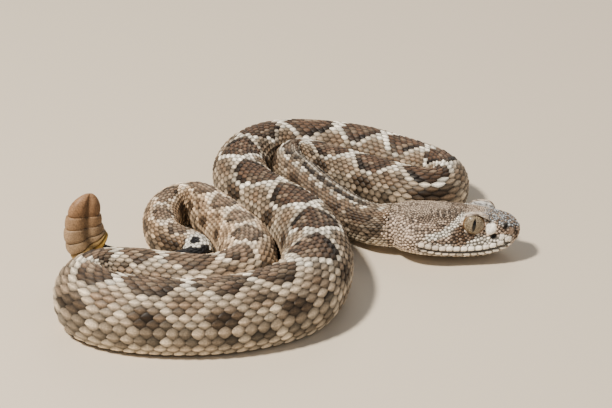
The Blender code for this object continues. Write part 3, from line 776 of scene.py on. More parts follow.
def scale_template():
    """Along, across, height and painted light and shade of a keeled scale's points, and its faces."""
    points = []
    for k, (along, wide, height) in enumerate(SCALE_ROWS):
        for across, dome, tint in SCALE_COLUMNS:
            ridge = KEEL * height if across == 0.0 else 0.0
            # Painted light and shade: a highlight on the keel, shade at the edges and at the root.
            shade = tint * (ROOT_TINT + TINT_GAIN * min(1.0, k / ROOT_ROWS))
            points.append((along, across * wide, height * dome + ridge, shade))
    points.append((SCALE_TIP[0], 0.0, SCALE_TIP[1], 0.5))
    columns = len(SCALE_COLUMNS)
    faces = grid_faces(len(SCALE_ROWS), columns, False)
    tip = len(points) - 1
    base = tip - columns
    for c in range(columns - 1):
        faces.append((base + c, tip, base + c + 1))
    return np.array(points), faces


def repeated_faces(faces, count, size):
    """Faces of one template repeated for each of count copies of size points."""
    out = []
    for k in range(count):
        base = k * size
        out.extend([tuple(base + i for i in face) for face in faces])
    return out


# Half width of the body where the coat has its full depth.
FULL_HALF = 10.0


def finish_piece(piece, nodes):
    """Puts a piece on the root body, in place of any solids that it dresses."""
    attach(piece, "root")
    if nodes:
        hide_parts(*nodes)


def coat_depth(route, coat, marks):
    """How far the skin lies inside the solids, less where the body is thin."""
    return coat.depth / MM * route.read(marks)[1] / FULL_HALF


# Points round a ring of the skin, and the spacing of its rings along the body and the head.
SKIN_SIDES = 128
SKIN_STEP = 1.6
HEAD_STEP = 0.28
# Rings that close the nose, against the head's first ring, and how far its tip stands out.
NOSE_SHARES = (0.02, 0.3, 0.55, 0.78, 0.93)
NOSE_TIP = 0.55
# Where the head's rings pass into the body's, and the mean radius that the head's skin sinks in from.
NAPE = (0.0, 4.0)
HEAD_GIRTH = 7.0
# Painted shade that darkens the skin between the scales, on the body and on the head.
BODY_GAP_SHADE = 0.10
HEAD_GAP_SHADE = 0.13


def skin_points(route, coat):
    """Rings of the skin from the nose to the tail's end, with marks and angles of each point."""
    angles = -np.pi + 2.0 * np.pi * np.arange(SKIN_SIDES) / SKIN_SIDES
    shares = np.abs(angles) / np.pi
    side = -np.sign(np.sin(angles))

    def upright(x, ring):
        return np.column_stack([np.full(SKIN_SIDES, x), ring[:, 0] * side, ring[:, 1]])

    nose = head_ring(HEAD_LENGTH, shares)
    centre = nose.mean(axis=0)
    rings = []
    for share in NOSE_SHARES:
        x = HEAD_LENGTH + NOSE_TIP * math.sqrt(1.0 - share**2)
        rings.append(upright(x, centre + (nose - centre) * share))
    neck = to_head(route.shell(np.zeros(SKIN_SIDES), angles))
    for x in np.arange(HEAD_LENGTH, 0.1, -HEAD_STEP):
        blend = float(ramp(x, *NAPE))
        ring = upright(x, head_ring(x, shares))
        rings.append(ring * blend + (neck + (x, 0.0, 0.0)) * (1.0 - blend))
    head = sculpted(np.vstack(rings))
    head_rings = len(rings)
    inner = head.copy()
    middle = np.repeat(head.reshape(head_rings, SKIN_SIDES, 3).mean(axis=1), SKIN_SIDES, axis=0)
    head_depth = coat_depth(route, coat, np.zeros(1))[0]
    inner[:, 1:] = middle[:, 1:] + (head - middle)[:, 1:] * (1.0 - head_depth / HEAD_GIRTH)
    count = round(route.length / SKIN_STEP)
    marks = np.linspace(0.0, route.length, count + 1)[1:]
    depth = coat_depth(route, coat, marks)[:, None]
    body = route.place(marks[:, None], angles[None, :], -depth).reshape(-1, 3)
    points = np.vstack([from_head(inner), body])
    all_marks = np.concatenate([-head[:, 0], np.repeat(marks, SKIN_SIDES)])
    all_angles = np.tile(angles, head_rings + count)
    return points, inner, all_marks, all_angles, head_rings, head_rings + count


class SNAKE_OT_skin(bpy.types.Operator):
    """Build the one skin of the head, neck, body and tail"""

    bl_idname = "snake.skin"
    bl_label = "Skin"

    def execute(self, context):
        route = Route(ROUTE)
        paint = Markings(context.scene.snake_colours)
        points, head, marks, angles, head_rings, rings = skin_points(route, context.scene.snake_coat)
        rng = np.random.default_rng(11)
        grain = rng.random((3, len(points)))
        grain[:2] = 0.5
        split = len(head)
        colours = np.vstack([
            paint.head(head, grain[:, :split]),
            paint.body(marks[split:], angles[split:], grain[:, split:]),
        ])
        # Painted shade between the scales: the skin's colours are darkened.
        colours *= np.where(marks > 0.0, BODY_GAP_SHADE, HEAD_GAP_SHADE)[:, None]
        faces = grid_faces(rings, SKIN_SIDES, True)
        faces.append(tuple(range(SKIN_SIDES)))
        faces.append(tuple(range(len(points) - 1, len(points) - 1 - SKIN_SIDES, -1)))
        # Skin between scales is thin and matt; painted shade darkens it so that it shows as dark lines.
        shader = keratin_material("Snake skin between scales", 0.62, 0.4)
        uvs = strip_uv(marks, angles, route.length)
        piece = mesh_object("skin", points, faces, shader, colours, uvs)
        piece["head_faces"] = (head_rings + 1) * SKIN_SIDES
        nodes = [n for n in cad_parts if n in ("head", "neck", "tail") or n.startswith("body")]
        finish_piece(piece, nodes)
        return {"FINISHED"}


# Stretches of the body, as marks, with the rows of scales round the back of each.
ZONES = ((-1.2, 4.5, 43), (4.5, 10.0, 33), (10.0, 440.0, 25), (440.0, 488.0, 21), (488.0, 530.0, 17))
MIDBODY_ROWS = 25.0
# How far the scales reach down either flank. The rows widen by this much towards the belly.
SCALE_REACH = math.radians(139.0)
ROW_WIDTH = 0.86
ROW_WIDENING = 0.42
# A scale's width against its row, its uneven share, and how deep its root sits in the coat.
SCALE_WIDTH = 0.92
SCALE_LEAST = 0.95
SCALE_CHANCE = 0.08
SCALE_ROOT = 1.08


def scale_places(route, spacing):
    """Mark, angle, length and half width of every scale, in rows offset by half a scale."""
    out = []
    for start, end, count in ZONES:
        end = min(end, route.length)
        marks = [start]
        while marks[-1] < end:
            half = route.read(np.array([max(marks[-1], 0.0)]))[1][0]
            marks.append(marks[-1] + spacing * half * math.sqrt(MIDBODY_ROWS / count))
        marks = start + (np.array(marks) - start) * (end - start) / (marks[-1] - start)
        steps = np.diff(marks)
        index = np.arange(count) - (count - 1) / 2.0
        widths = ROW_WIDTH + ROW_WIDENING * (np.abs(index) / index.max()) ** 2
        edges = np.concatenate([[0.0], np.cumsum(widths)])
        centres = -SCALE_REACH + SCALE_REACH * (edges[:-1] + edges[1:]) / edges[-1]
        halves = 2.0 * SCALE_REACH * widths / edges[-1]
        for k in range(count):
            at = marks[:-1] + (0.25 + 0.5 * (k % 2)) * steps
            row = np.ones_like(at)
            out.append(np.stack([at, centres[k] * row, steps, halves[k] * row]))
    places = np.hstack(out)
    return places[:, np.argsort(places[0], kind="stable")]


class SNAKE_OT_body_scales(bpy.types.Operator):
    """Build the keeled scales of the back and flanks, row by row"""

    bl_idname = "snake.body_scales"
    bl_label = "Body Scales"

    def execute(self, context):
        coat = context.scene.snake_coat
        route = Route(ROUTE)
        paint = Markings(context.scene.snake_colours)
        rng = np.random.default_rng(5)
        at, turn, long, wide = scale_places(route, coat.spacing)
        tones = paint.body(at, turn, rng.random((3, len(at))))
        template, faces = scale_template()
        # Dry keratin takes only a faint silky shine on the keels.
        shader = keratin_material("Keeled keratin scales", 0.5, 0.35)
        ends = np.linspace(0, len(at), 4).astype(int)
        for k, name in enumerate(("front", "middle", "rear")):
            chosen = slice(ends[k], ends[k + 1])
            s, a, length, width = at[chosen], turn[chosen], long[chosen], wide[chosen]
            depth = coat_depth(route, coat, s)
            width = width * (SCALE_LEAST + SCALE_CHANCE * rng.random(len(s)))
            along = s[:, None] + template[:, 0] * length[:, None]
            across = a[:, None] + template[:, 1] * width[:, None] * SCALE_WIDTH
            lift = (template[:, 2] * coat.rise - SCALE_ROOT)[None, :] * depth[:, None]
            points = route.place(along, across, lift).reshape(-1, 3)
            # Each point's colour carries the template's painted highlight and shade.
            colours = (tones[chosen][:, None, :] * template[None, :, 3, None]).reshape(-1, 3)
            uvs = patch_uv(strip_uv(s, a, route.length), template)
            many = repeated_faces(faces, len(s), len(template))
            piece = mesh_object(f"body_scales_{name}", points, many, shader, colours, uvs)
            finish_piece(piece, ())
        return {"FINISHED"}


# Rows of a scute from front to back: place along and height. Its points across, half its width in
# radians, how far its ends bow back, and how much thinner they are.
SCUTE_ROWS = ((-0.5, -0.08), (-0.1, 0.10), (0.35, 0.2), (0.5, 0.18), (0.56, -0.05))
SCUTE_POINTS = 15
SCUTE_HALF = math.radians(43.0)
SCUTE_BOW = 0.25
SCUTE_THINNING = 0.5
# No scute comes nearer to the ground than this.
GROUND_GAP = 0.02


class SNAKE_OT_belly(bpy.types.Operator):
    """Build the broad scutes of the belly"""

    bl_idname = "snake.belly"
    bl_label = "Belly Scutes"

    def execute(self, context):
        coat = context.scene.snake_coat
        route = Route(ROUTE)
        paint = Markings(context.scene.snake_colours)
        marks = [0.5]
        while marks[-1] < route.length - 1.0:
            half = route.read(np.array([marks[-1]]))[1][0]
            marks.append(marks[-1] + coat.spacing * half)
        marks = np.array(marks)
        depth = coat_depth(route, coat, marks)[:, None]
        steps = np.diff(marks, append=2.0 * marks[-1] - marks[-2])
        across = np.linspace(-1.0, 1.0, SCUTE_POINTS)
        edge = 1.0 - SCUTE_THINNING * np.abs(across) ** 6
        at, turn, lift = [], [], []
        for along, height in SCUTE_ROWS:
            at.append(marks[:, None] + (along + SCUTE_BOW * across**2)[None, :] * steps[:, None])
            turn.append(np.broadcast_to(np.pi + SCUTE_HALF * across, (len(marks), SCUTE_POINTS)))
            lift.append(height * edge[None, :] - depth)
        at, turn, lift = (np.stack(rows, 1) for rows in (at, turn, lift))
        size = len(SCUTE_ROWS) * SCUTE_POINTS
        points = route.place(at, turn, lift).reshape(-1, 3)
        points[:, 2] = np.maximum(points[:, 2], GROUND_GAP)
        rng = np.random.default_rng(9)
        grain = np.repeat(rng.random((3, len(marks))), size, axis=1)
        colours = paint.body(at.reshape(-1), turn.reshape(-1), grain)
        root = strip_uv(marks, np.full(len(marks), np.pi - 0.01), route.length)
        ticks = [np.linspace(-0.5, 0.5, SCUTE_POINTS), np.linspace(-1.0, 1.0, len(SCUTE_ROWS))]
        uvs = patch_uv(root, np.stack(np.meshgrid(*ticks), -1).reshape(-1, 2))
        faces = repeated_faces(grid_faces(len(SCUTE_ROWS), SCUTE_POINTS, False), len(marks), size)
        # Scutes are smoother keratin than the back's and take a soft shine.
        shader = keratin_material("Smooth belly scutes", 0.42, 0.2)
        finish_piece(mesh_object("belly_scutes", points, faces, shader, colours, uvs), ())
        return {"FINISHED"}


# Rows of a small head scale: place along, half width and height. Its columns: across and height.
SMALL_ROWS = ((0.0, 0.55, 0.0), (0.3, 0.95, 0.8), (0.65, 0.9, 1.0), (1.0, 0.42, 0.1))
SMALL_COLUMNS = ((-1.0, 0.0), (-0.45, 0.85), (0.45, 0.85), (1.0, 0.0))
# Length, half width and height of a small scale against its spacing, and how deep it sits.
SMALL_SIZE = (1.16, 0.49, 0.34)
SMALL_SINK = 0.06
# Places tried for small scales, the least gap that is kept, and how the kept ones are pushed apart:
# passes, reach and share of each push. Gaps and reaches are shares of the wanted spacing.
SMALL_TRIES = 48000
LEAST_GAP = 0.82
PUSH_PASSES = 4
PUSH_REACH = 1.25
PUSH_SHARE = 0.28
SEARCH_CELL = 1.5
# Small scales end here, where the neck's scales begin.
HEAD_REAR = -0.8
# Clear of small scales round the heat pit and the nostril: place, stretch and radius.
CLEARINGS = ((PIT_PLACE, (1.0, 0.5, 1.0), 1.2), (NOSTRIL_PLACE, (1.3, 0.5, 0.9), 1.15))
# Clear for the lip plates: from x to x, and from below to above the mouth. At the nose only a slit is.
LIP_STRIP = (9.0, 34.6, -1.5, 2.0)
NOSE_SLIT = 0.34

# The left side's plates: the preocular and two of the snout, as x, z, half length, half height,
# lift and points a side; then the lip plates' count, first place and spacing.
PREOCULAR = (29.2, 8.7, 1.65, 1.85, 0.42, 9)
SNOUT_PLATES = ((32.3, 6.4, 0.9, 1.1, 0.3, 5), (34.7, 7.8, 0.75, 1.3, 0.3, 5))
LIP_PLATES = (13, 10.2, 1.98)
# An upper lip plate: half length, lift, gap over the mouth, least half height, what chance adds to
# it and how far chance shifts the plate. A lower one: half length, half height, lift, its middle's
# depth under the mouth and how far forward it sits. Then both kinds' points a side and roundness.
UPPER_LIP = (1.03, 0.26, 0.2, 0.86, 0.14, 0.24)
LOWER_LIP = (1.04, 0.48, 0.22, 0.66, 0.7)
LIP_POINTS = 5
LIP_ROUNDNESS = 0.24
LIP_BRIGHTNESS = 1.22
WHITE_BRIGHTNESS = 1.2
# The lid's ring of scales: count, distance past the eye's opening, half width and height. Those
# that would rise higher than a share of the ring are left out, under the brow shield.
LID_SCALES = (16, 0.3, 0.34, 0.3)
LID_OPEN = 0.6
LID_POINTS = 5
# The brow shield: middle x and y, half length and half width, height of its top and its outer rim,
# how far the rim falls to either end, and points a side.
BROW_X, BROW_Y = 25.0, 6.5
BROW_LONG, BROW_WIDE = 3.9, 1.9
BROW_TOP, BROW_RIM = 13.2, 12.85
BROW_FALL = 2.0
BROW_POINTS = 15


def head_tree():
    """The head's skin as a search tree in the head's own frame, with its points."""
    skin = bpy.data.objects["skin"].data
    points = np.zeros(len(skin.vertices) * 3)
    skin.vertices.foreach_get("co", points)
    points = to_head(points.reshape(-1, 3) / MM)
    faces = []
    for face in skin.polygons[: bpy.data.objects["skin"]["head_faces"]]:
        faces.append(tuple(face.vertices))
    return BVHTree.FromPolygons(points.tolist(), faces), points, faces


def head_space(place):
    """Spacing of the small scales at a place of the head, against that on the crown."""
    x, _, z = place
    crown = ramp(z, 8.0, 11.0)
    rear = 1.0 - ramp(x, 2.0, 12.0)
    low = 1.0 - ramp(z, 0.6, 2.6)
    return 1.0 + 0.36 * (1.0 - crown) + 0.25 * rear + 0.5 * low


def head_free(place):
    """False where a plate, an eye, a lip, a pit or a nostril leaves no room for small scales."""
    x, side, z = place[0], abs(place[1]), place[2]
    place = np.array((x, side, z))
    away = place - EYE_PLACE
    out = away @ EYE_OUT
    if out > -0.5 and np.linalg.norm(away - out * EYE_OUT) < EYE_OPENING + 0.75:
        return False
    for middle, stretch, radius in CLEARINGS:
        if np.linalg.norm((place - middle) * stretch) < radius:
            return False
    above_mouth = z - curve_value(MOUTH_HEIGHT, x)
    rear, front, below, above = LIP_STRIP
    if rear < x < front and side > 0.6 * curve_value(HALF_WIDTH, x) and below < above_mouth < above:
        return False
    if x >= front and abs(above_mouth) < NOSE_SLIT:
        return False
    outer_brow = BROW_RIM - 0.55 - BROW_FALL * ((x - BROW_X) / BROW_LONG) ** 2
    off = np.hypot((x - BROW_X) / (BROW_LONG + 0.1), (side - BROW_Y) / (BROW_WIDE + 0.1))
    if off < 1.0 and z > (outer_brow if side > BROW_Y else 10.6):
        return False
    at, high, long, tall = PREOCULAR[:4]
    off = np.hypot((x - at) / (long + 0.05), (z - high) / (tall + 0.05))
    return not (off < 1.0 and side > 4.5)


def scattered_places(tree, points, faces, spacing):
    """Evenly spread places for small scales on the head, with the surface's normals."""
    rng = np.random.default_rng(3)
    corners = points[np.array(faces)]
    middle = corners.mean(axis=1)
    crossed = np.cross(corners[:, 2] - corners[:, 0], corners[:, 3] - corners[:, 1])
    area = np.linalg.norm(crossed, axis=1)
    area[middle[:, 0] < HEAD_REAR] = 0.0
    picks = rng.choice(len(faces), SMALL_TRIES, p=area / area.sum())
    blend = rng.random((len(picks), 4))
    blend /= blend.sum(axis=1, keepdims=True)
    tries = (corners[picks] * blend[:, :, None]).sum(axis=1)
    neighbours = [np.array(step) for step in itertools.product((-1, 0, 1), repeat=3)]
    cells = {}
    kept = []
    for place in tries:
        if not head_free(place):
            continue
        gap = spacing * head_space(place) * LEAST_GAP
        cell = np.floor(place / SEARCH_CELL).astype(int)
        near = itertools.chain(*(cells.get(tuple(cell + step), ()) for step in neighbours))
        if all(math.dist(other, place) >= gap for other in near):
            cells.setdefault(tuple(cell), []).append(place)
            kept.append(place)
    kept = np.array(kept)
    for _ in range(PUSH_PASSES):
        near = KDTree(len(kept))
        for k, place in enumerate(kept):
            near.insert(place, k)
        near.balance()
        moved = kept.copy()
        for k, place in enumerate(kept):
            reach = PUSH_REACH * spacing * head_space(place)
            push = np.zeros(3)
            for other, i, distance in near.find_range(place, reach):
                if i != k and distance > 1e-5:
                    push += (place - np.array(other)) / distance * (reach - distance)
            moved[k] = place + PUSH_SHARE * push
        for k, place in enumerate(moved):
            hit = tree.find_nearest(place)[0]
            if hit is not None and head_free(hit) and hit.x > HEAD_REAR:
                kept[k] = hit
    normals = np.array([tree.find_nearest(place)[1] for place in kept])
    return kept, normals


def small_scale():
    """Along, across, height and painted light and shade of a small domed head scale's points, and its
    faces.
    """
    points = []
    for along, wide, height in SMALL_ROWS:
        for across, dome in SMALL_COLUMNS:
            # Painted light and shade: lighter on the dome's top, darker at its edges.
            points.append((along, across * wide, dome * height, 0.36 + 0.9 * dome * height))
    return np.array(points), grid_faces(len(SMALL_ROWS), len(SMALL_COLUMNS), False)


def plate_points(tree, x, z, long, high, lift, columns, roundness=0.5):
    """A domed plate on the head's left side, moulded to the skin."""
    rows = []
    ticks = np.linspace(-1.0, 1.0, columns)
    for b in ticks:
        for a in ticks:
            u = a * math.sqrt(1.0 - roundness * b * b)
            v = b * math.sqrt(1.0 - roundness * a * a)
            start = Vector((x + long * u, 14.0, z + high * v))
            place, normal, _, _ = tree.ray_cast(start, Vector((0.0, -1.0, 0.0)))
            if place is None:
                place, normal = tree.find_nearest(start)[0], Vector((0.0, 1.0, 0.0))
            dome = 1.0 - max(abs(a), abs(b)) ** 4
            rows.append(np.array(place + normal * (lift * dome - SMALL_SINK)))
    return np.array(rows)


def lip_plates(tree, rng):
    """Plates along the upper lip with narrower ones under the mouth, as points, columns and tone."""
    groups = []
    count, first, step = LIP_PLATES
    half, lift, gap, least, more, shift = UPPER_LIP
    low_half, low_high, low_lift, under, ahead = LOWER_LIP
    for k in range(count):
        x = first + step * k
        mouth = curve_value(MOUTH_HEIGHT, x)
        x += shift * (rng.random() - 0.5)
        high = least + more * rng.random()
        for size in (
            (x, mouth + gap + high, half, high, lift),
            (x + ahead, mouth - under, low_half, low_high, low_lift),
        ):
            groups.append((plate_points(tree, *size, LIP_POINTS, LIP_ROUNDNESS), LIP_POINTS, "lip"))
    return groups


def lid_scales():
    """A ring of small scales round the eye, open under the brow shield."""
    groups = []
    count, past, half, height = LID_SCALES
    ticks = np.linspace(-1.0, 1.0, LID_POINTS)
    for k in range(count):
        turn = 2.0 * math.pi * k / count
        if math.sin(turn) > LID_OPEN:
            continue
        ring = []
        for a in ticks:
            for b in ticks:
                spoke = turned(EYE_FORWARD, EYE_UP, turn + a * math.pi / count * 0.96)[0]
                dome = 1.0 - max(abs(a), abs(b)) ** 3
                sit = LID_SEAT - 0.05 - 0.16 * (b + 1.0) + height * dome
                ring.append(EYE_PLACE + spoke * (EYE_OPENING + past + half * b) + EYE_OUT * sit)
        groups.append((np.array(ring), LID_POINTS, None))
    return groups


def brow_shield(tree):
    """The knobbly shield over the eye, with its rim out over the lid."""
    rows = []
    ticks = np.sin(np.linspace(-0.5, 0.5, BROW_POINTS) * math.pi)
    for b in ticks:
        for a in ticks:
            u = a * math.sqrt(1.0 - 0.45 * b * b)
            v = b * math.sqrt(1.0 - 0.5 * a * a)
            x = BROW_X + BROW_LONG * u
            y = BROW_Y + BROW_WIDE * v - 0.25 * u
            hit = tree.ray_cast(Vector((x, y, 18.0)), Vector((0.0, 0.0, -1.0)))[0]
            rim = hit.z - 0.1 if hit is not None else 8.0
            rim = max(rim, (BROW_RIM - BROW_FALL * u * u) * (v > 0.0))
            dome = (1.0 - max(abs(a), abs(b)) ** 3) ** 0.6
            knob = 0.16 * math.sin(5.0 * x + 2.0 * y) * math.sin(4.2 * y)
            rows.append((x, y, rim + (BROW_TOP - 0.5 * u * u + knob - rim) * dome))
    return np.array(rows)


def plate_colours(paint, place, columns, tone, rng):
    """Colours of one plate: the head's at its middle, or the plate's own."""
    tones = paint.tones
    grain = np.repeat(rng.random((3, 1)), len(place), axis=1)
    grain[0] = 0.3 + 0.6 * grain[0]
    colour = paint.head(np.broadcast_to(place.mean(axis=0), place.shape), grain)
    if tone == "white":
        return np.broadcast_to(tones["white"], place.shape) * WHITE_BRIGHTNESS
    if tone == "lip":
        return colour * LIP_BRIGHTNESS
    if tone == "mottled":
        fleck = rng.random((2, columns, 8)).repeat(2, axis=2)[:, :, :columns].reshape(2, -1)
        x, y, z = place.T
        # Painted reflection of the sky on the inner, upward part of the brow shield.
        colour = mixed(colour, tones["frost"], 0.7 * (1.0 - ramp(np.abs(y), 5.3, 6.3)))
        waves = np.sin(2.9 * x + 2.6 * z) * np.sin(2.3 * x - 3.1 * z - 1.7 * y)
        colour = mixed(colour, tones["edge"], 0.8 * ramp(waves + 0.5 * fleck[0], 0.35, 0.6))
        colour = mixed(colour, tones["white"], 0.5 * (fleck[1] < 0.2))
    return colour


def head_plates(tree, paint, rng):
    """Points, colours, faces and unwrap of the plates on both sides of the head."""
    groups = lip_plates(tree, rng)
    groups.append((plate_points(tree, *PREOCULAR), PREOCULAR[-1], "white"))
    groups += [(plate_points(tree, *plate), plate[-1], None) for plate in SNOUT_PLATES]
    groups += lid_scales()
    groups.append((brow_shield(tree), BROW_POINTS, "mottled"))
    points, colours, faces, uvs = [], [], [], []
    base = 0
    for side in (1.0, -1.0):
        for group, columns, tone in groups:
            place = group * (1.0, side, 1.0)
            colour = plate_colours(paint, place, columns, tone, rng)
            ticks = np.linspace(-1.0, 1.0, columns)
            a, b = np.tile(ticks, columns), np.repeat(ticks, columns)
            # Painted shade darkens each plate towards its edges.
            edge = np.maximum(np.abs(a), np.abs(b)) ** 5
            colours.append(colour * (1.0 - 0.4 * edge)[:, None])
            points.append(place)
            for face in grid_faces(columns, columns, False):
                # A quad is parted from its first corner, so its second is put first here.
                face = tuple(base + i for i in face[1:] + face[:1])
                faces.append(face if side > 0.0 else face[::-1])
            uvs.append(head_uv(place.mean(axis=0)) + np.stack([a, b], -1) * UV_PATCH / 2.0)
            base += len(place)
    return np.vstack(points), np.vstack(colours), faces, np.vstack(uvs)


class SNAKE_OT_head_scales(bpy.types.Operator):
    """Build the small scales, lip plates, brow shields and lid scales of the head"""

    bl_idname = "snake.head_scales"
    bl_label = "Head Scales"

    def execute(self, context):
        coat = context.scene.snake_coat
        paint = Markings(context.scene.snake_colours)
        tree, skin_places, skin_faces = head_tree()
        spacing = coat.head_spacing / MM
        places, normals = scattered_places(tree, skin_places, skin_faces, spacing)
        rng = np.random.default_rng(21)
        template, faces = small_scale()
        backward = np.broadcast_to((-1.0, 0.0, -0.12), normals.shape)
        along = unit(backward - (backward * normals).sum(axis=1, keepdims=True) * normals)
        size = np.array([spacing * head_space(place) for place in places])
        size *= 0.88 + 0.26 * rng.random(len(size))
        lean = 0.7 * (rng.random(len(size))[:, None] - 0.5)
        along, across = turned(along, np.cross(normals, along), lean)
        tones = paint.head(places, rng.random((3, len(places))))
        long, half, high = SMALL_SIZE
        reach = (template[:, 0] - 0.5) * long
        points = (
            places[:, None, :]
            + along[:, None, :] * (reach * size[:, None])[..., None]
            + across[:, None, :] * (template[:, 1] * half * size[:, None])[..., None]
            + normals[:, None, :] * (template[:, 2] * high * size[:, None] - SMALL_SINK)[..., None]
        ).reshape(-1, 3)
        # Each point's colour carries the template's painted light and shade.
        colours = (tones[:, None, :] * template[None, :, 3, None]).reshape(-1, 3)
        uvs = patch_uv(head_uv(places), template - (0.5, 0.0, 0.0, 0.0))
        many = repeated_faces(faces, len(places), len(template))
        plates, plate_tones, plate_faces, plate_uvs = head_plates(tree, paint, rng)
        many += [tuple(len(points) + i for i in face) for face in plate_faces]
        points = np.vstack([points, plates])
        colours = np.vstack([colours, plate_tones])
        uvs = np.vstack([uvs, plate_uvs])
        # The head's granules are dry keratin, as dull as the back's.
        shader = keratin_material("Fine head scales", 0.5, 0.25)
        piece = mesh_object("head_scales", from_head(points), many, shader, colours, uvs)
        finish_piece(piece, ())
        return {"FINISHED"}


# The ball's widest part against its radius, and where and how fast it draws in behind the lids.
BALL_WIDEST = EYE_OPENING / EYE_RADIUS * 1.02
BALL_TURN = 1.12
BALL_TAPER = 0.36
# The pupil: how far it leans, half height, half width and how sharp its edge is, and the iris's rim.
PUPIL_LEAN = 0.13
PUPIL_TALL = 0.66
PUPIL_WIDE = 0.165
PUPIL_SHARP = 40.0
IRIS_RIM = (0.76, 0.86)


class SNAKE_OT_eyes(bpy.types.Operator):
    """Build the glossy eyes with their upright slit pupils"""

    bl_idname = "snake.eyes"
    bl_label = "Eyes"

    def execute(self, context):
        shader = eye_material()
        for name, side in (("left", 1.0), ("right", -1.0)):
            ball = bmesh.new()
            bmesh.ops.create_uvsphere(ball, u_segments=48, v_segments=40, radius=1.0)
            local = np.array([tuple(point.co) for point in ball.verts])
            radial = np.hypot(local[:, 0], local[:, 1])
            polar = np.arctan2(radial, local[:, 2])
            reach = np.minimum(radial, BALL_WIDEST - BALL_TAPER * np.maximum(polar - BALL_TURN, 0.0))
            local[:, :2] *= (reach / np.maximum(radial, 1e-6))[:, None]
            places = EYE_PLACE + local @ np.array((EYE_FORWARD, EYE_UP, EYE_OUT)) * EYE_RADIUS
            for point, place in zip(ball.verts, from_head(places * (1.0, side, 1.0)) * MM):
                point.co = place
            ball.normal_update()
            bmesh.ops.recalc_face_normals(ball, faces=ball.faces)
            data = bpy.data.meshes.new(f"eye_{name}_ball")
            ball.to_mesh(data)
            ball.free()
            layer = data.attributes.new("sight", "FLOAT_VECTOR", "POINT")
            layer.data.foreach_set("vector", local.astype(np.float32).ravel())
            finish_piece(linked_object(data.name, data, shader), (f"eye_{name}",))
        return {"FINISHED"}


def eye_material():
    """Clear wet cornea over an iris of greyish gold with fine rays, and a slit pupil."""
    made, tree, shader = shader_material("Wet reptile eye", {
        "Roughness": 0.35,
        "Specular IOR Level": 0.15,
        "Coat Weight": 1.0,
        "Coat Roughness": 0.03,
        "Coat IOR": 1.34,
    })
    sight = node(tree, "ShaderNodeAttribute", attribute_name="sight")
    split = node(tree, "ShaderNodeSeparateXYZ", {"Vector": sight.outputs["Vector"]})
    values = {"x": split.outputs["X"], "y": split.outputs["Y"]}
    # Each value is named, then how it is worked out from the ones before it.
    for name, operation, a, b in (
        ("lean", "MULTIPLY", "y", PUPIL_LEAN),
        ("from middle", "SUBTRACT", "x", "lean"),
        ("across", "ABSOLUTE", "from middle", 0.0),
        ("up", "DIVIDE", "y", PUPIL_TALL),
        ("up squared", "MULTIPLY", "up", "up"),
        ("room", "SUBTRACT", 1.0, "up squared"),
        ("slit", "MULTIPLY", "room", PUPIL_WIDE),
        ("inside", "SUBTRACT", "slit", "across"),
        ("sharp inside", "MULTIPLY", "inside", PUPIL_SHARP),
        ("x squared", "MULTIPLY", "x", "x"),
        ("y squared", "MULTIPLY", "y", "y"),
        ("radius squared", "ADD", "x squared", "y squared"),
        ("radius", "SQRT", "radius squared", 0.0),
        ("angle", "ARCTAN2", "y", "x"),
        ("ray turn", "MULTIPLY", "angle", 5.0),
        ("ray reach", "MULTIPLY", "radius", 2.0),
    ):
        inputs = {0: values.get(a, a), 1: values.get(b, b)}
        values[name] = node(tree, "ShaderNodeMath", inputs, operation=operation).outputs["Value"]
    pupil = node(tree, "ShaderNodeClamp", {"Value": values["sharp inside"]})
    rays = node(tree, "ShaderNodeCombineXYZ", {"X": values["ray turn"], "Y": values["ray reach"]})
    inputs = {"Vector": rays.outputs["Vector"], "Scale": 3.0, "Detail": 6.0}
    streak = node(tree, "ShaderNodeTexNoise", inputs)
    iris = node(tree, "ShaderNodeValToRGB", {"Fac": streak.outputs["Fac"]})
    for element, position, code in zip(iris.color_ramp.elements, (0.38, 0.64), ("#3a2f26", "#ab9c82")):
        element.position = position
        element.color = (*linear(code), 1.0)
    inputs = {"Value": values["radius"], "From Min": IRIS_RIM[0], "From Max": IRIS_RIM[1]}
    ring = node(tree, "ShaderNodeMapRange", inputs)
    colour = iris.outputs["Color"]
    for share, code in ((ring.outputs["Result"], "#6b4c26"), (pupil.outputs["Result"], "#0a0a0d")):
        inputs = {"Factor": share, "A": colour, "B": (*linear(code), 1.0)}
        colour = node(tree, "ShaderNodeMix", inputs, data_type="RGBA").outputs["Result"]
    tree.links.new(colour, shader.inputs["Base Color"])
    return made


# The rattle's middle line, and the direction that its rings are thin in.
RATTLE_AXIS = [(-55.4, -8.6, 5.4), (-57.2, -9.4, 7.2), (-58.3, -9.8, 10.2), (-58.4, -10.0, 15.4),
               (-57.3, -10.1, 23.4)]
RATTLE_FACING = math.radians(28.0)
# Length and half width of each ring from the tail out, the gap between two and where they start.
RATTLE_RINGS = [(1.3, 6.0), (1.4, 6.2), (1.8, 6.2), (2.7, 6.0), (2.9, 5.5), (6.4, 4.8)]
RATTLE_GAP = 0.45
RATTLE_START = 0.3
RATTLE_THICKNESS = 0.52
RATTLE_SIDES = 64
# Places along a ring, as shares of its length, with its girth there. The last ring is the button.
RING_PROFILE = [(-0.1, 0.88), (-0.03, 0.955), (0.08, 0.985), (0.28, 1.0), (0.5, 0.998), (0.7, 0.985),
                (0.88, 0.965), (1.04, 0.94), (1.1, 0.86)]
BUTTON_PROFILE = [(-0.06, 0.88), (-0.02, 0.96), (0.06, 0.99), (0.18, 1.0), (0.36, 0.955), (0.52, 0.865),
                  (0.68, 0.725), (0.8, 0.58), (0.9, 0.42), (0.97, 0.26), (1.0, 0.10)]
BUTTON_LEAN = 0.9
RING_COLOURS = ("#b08d45", "#a08455", "#9b8265", "#9a8064", "#97795b", "#927052")
# Depth and width of the groove along each flat side, and darkness and width of its shadow.
RATTLE_GROOVE = (0.34, 0.26)
RATTLE_SHADOW = (0.5, 0.16)


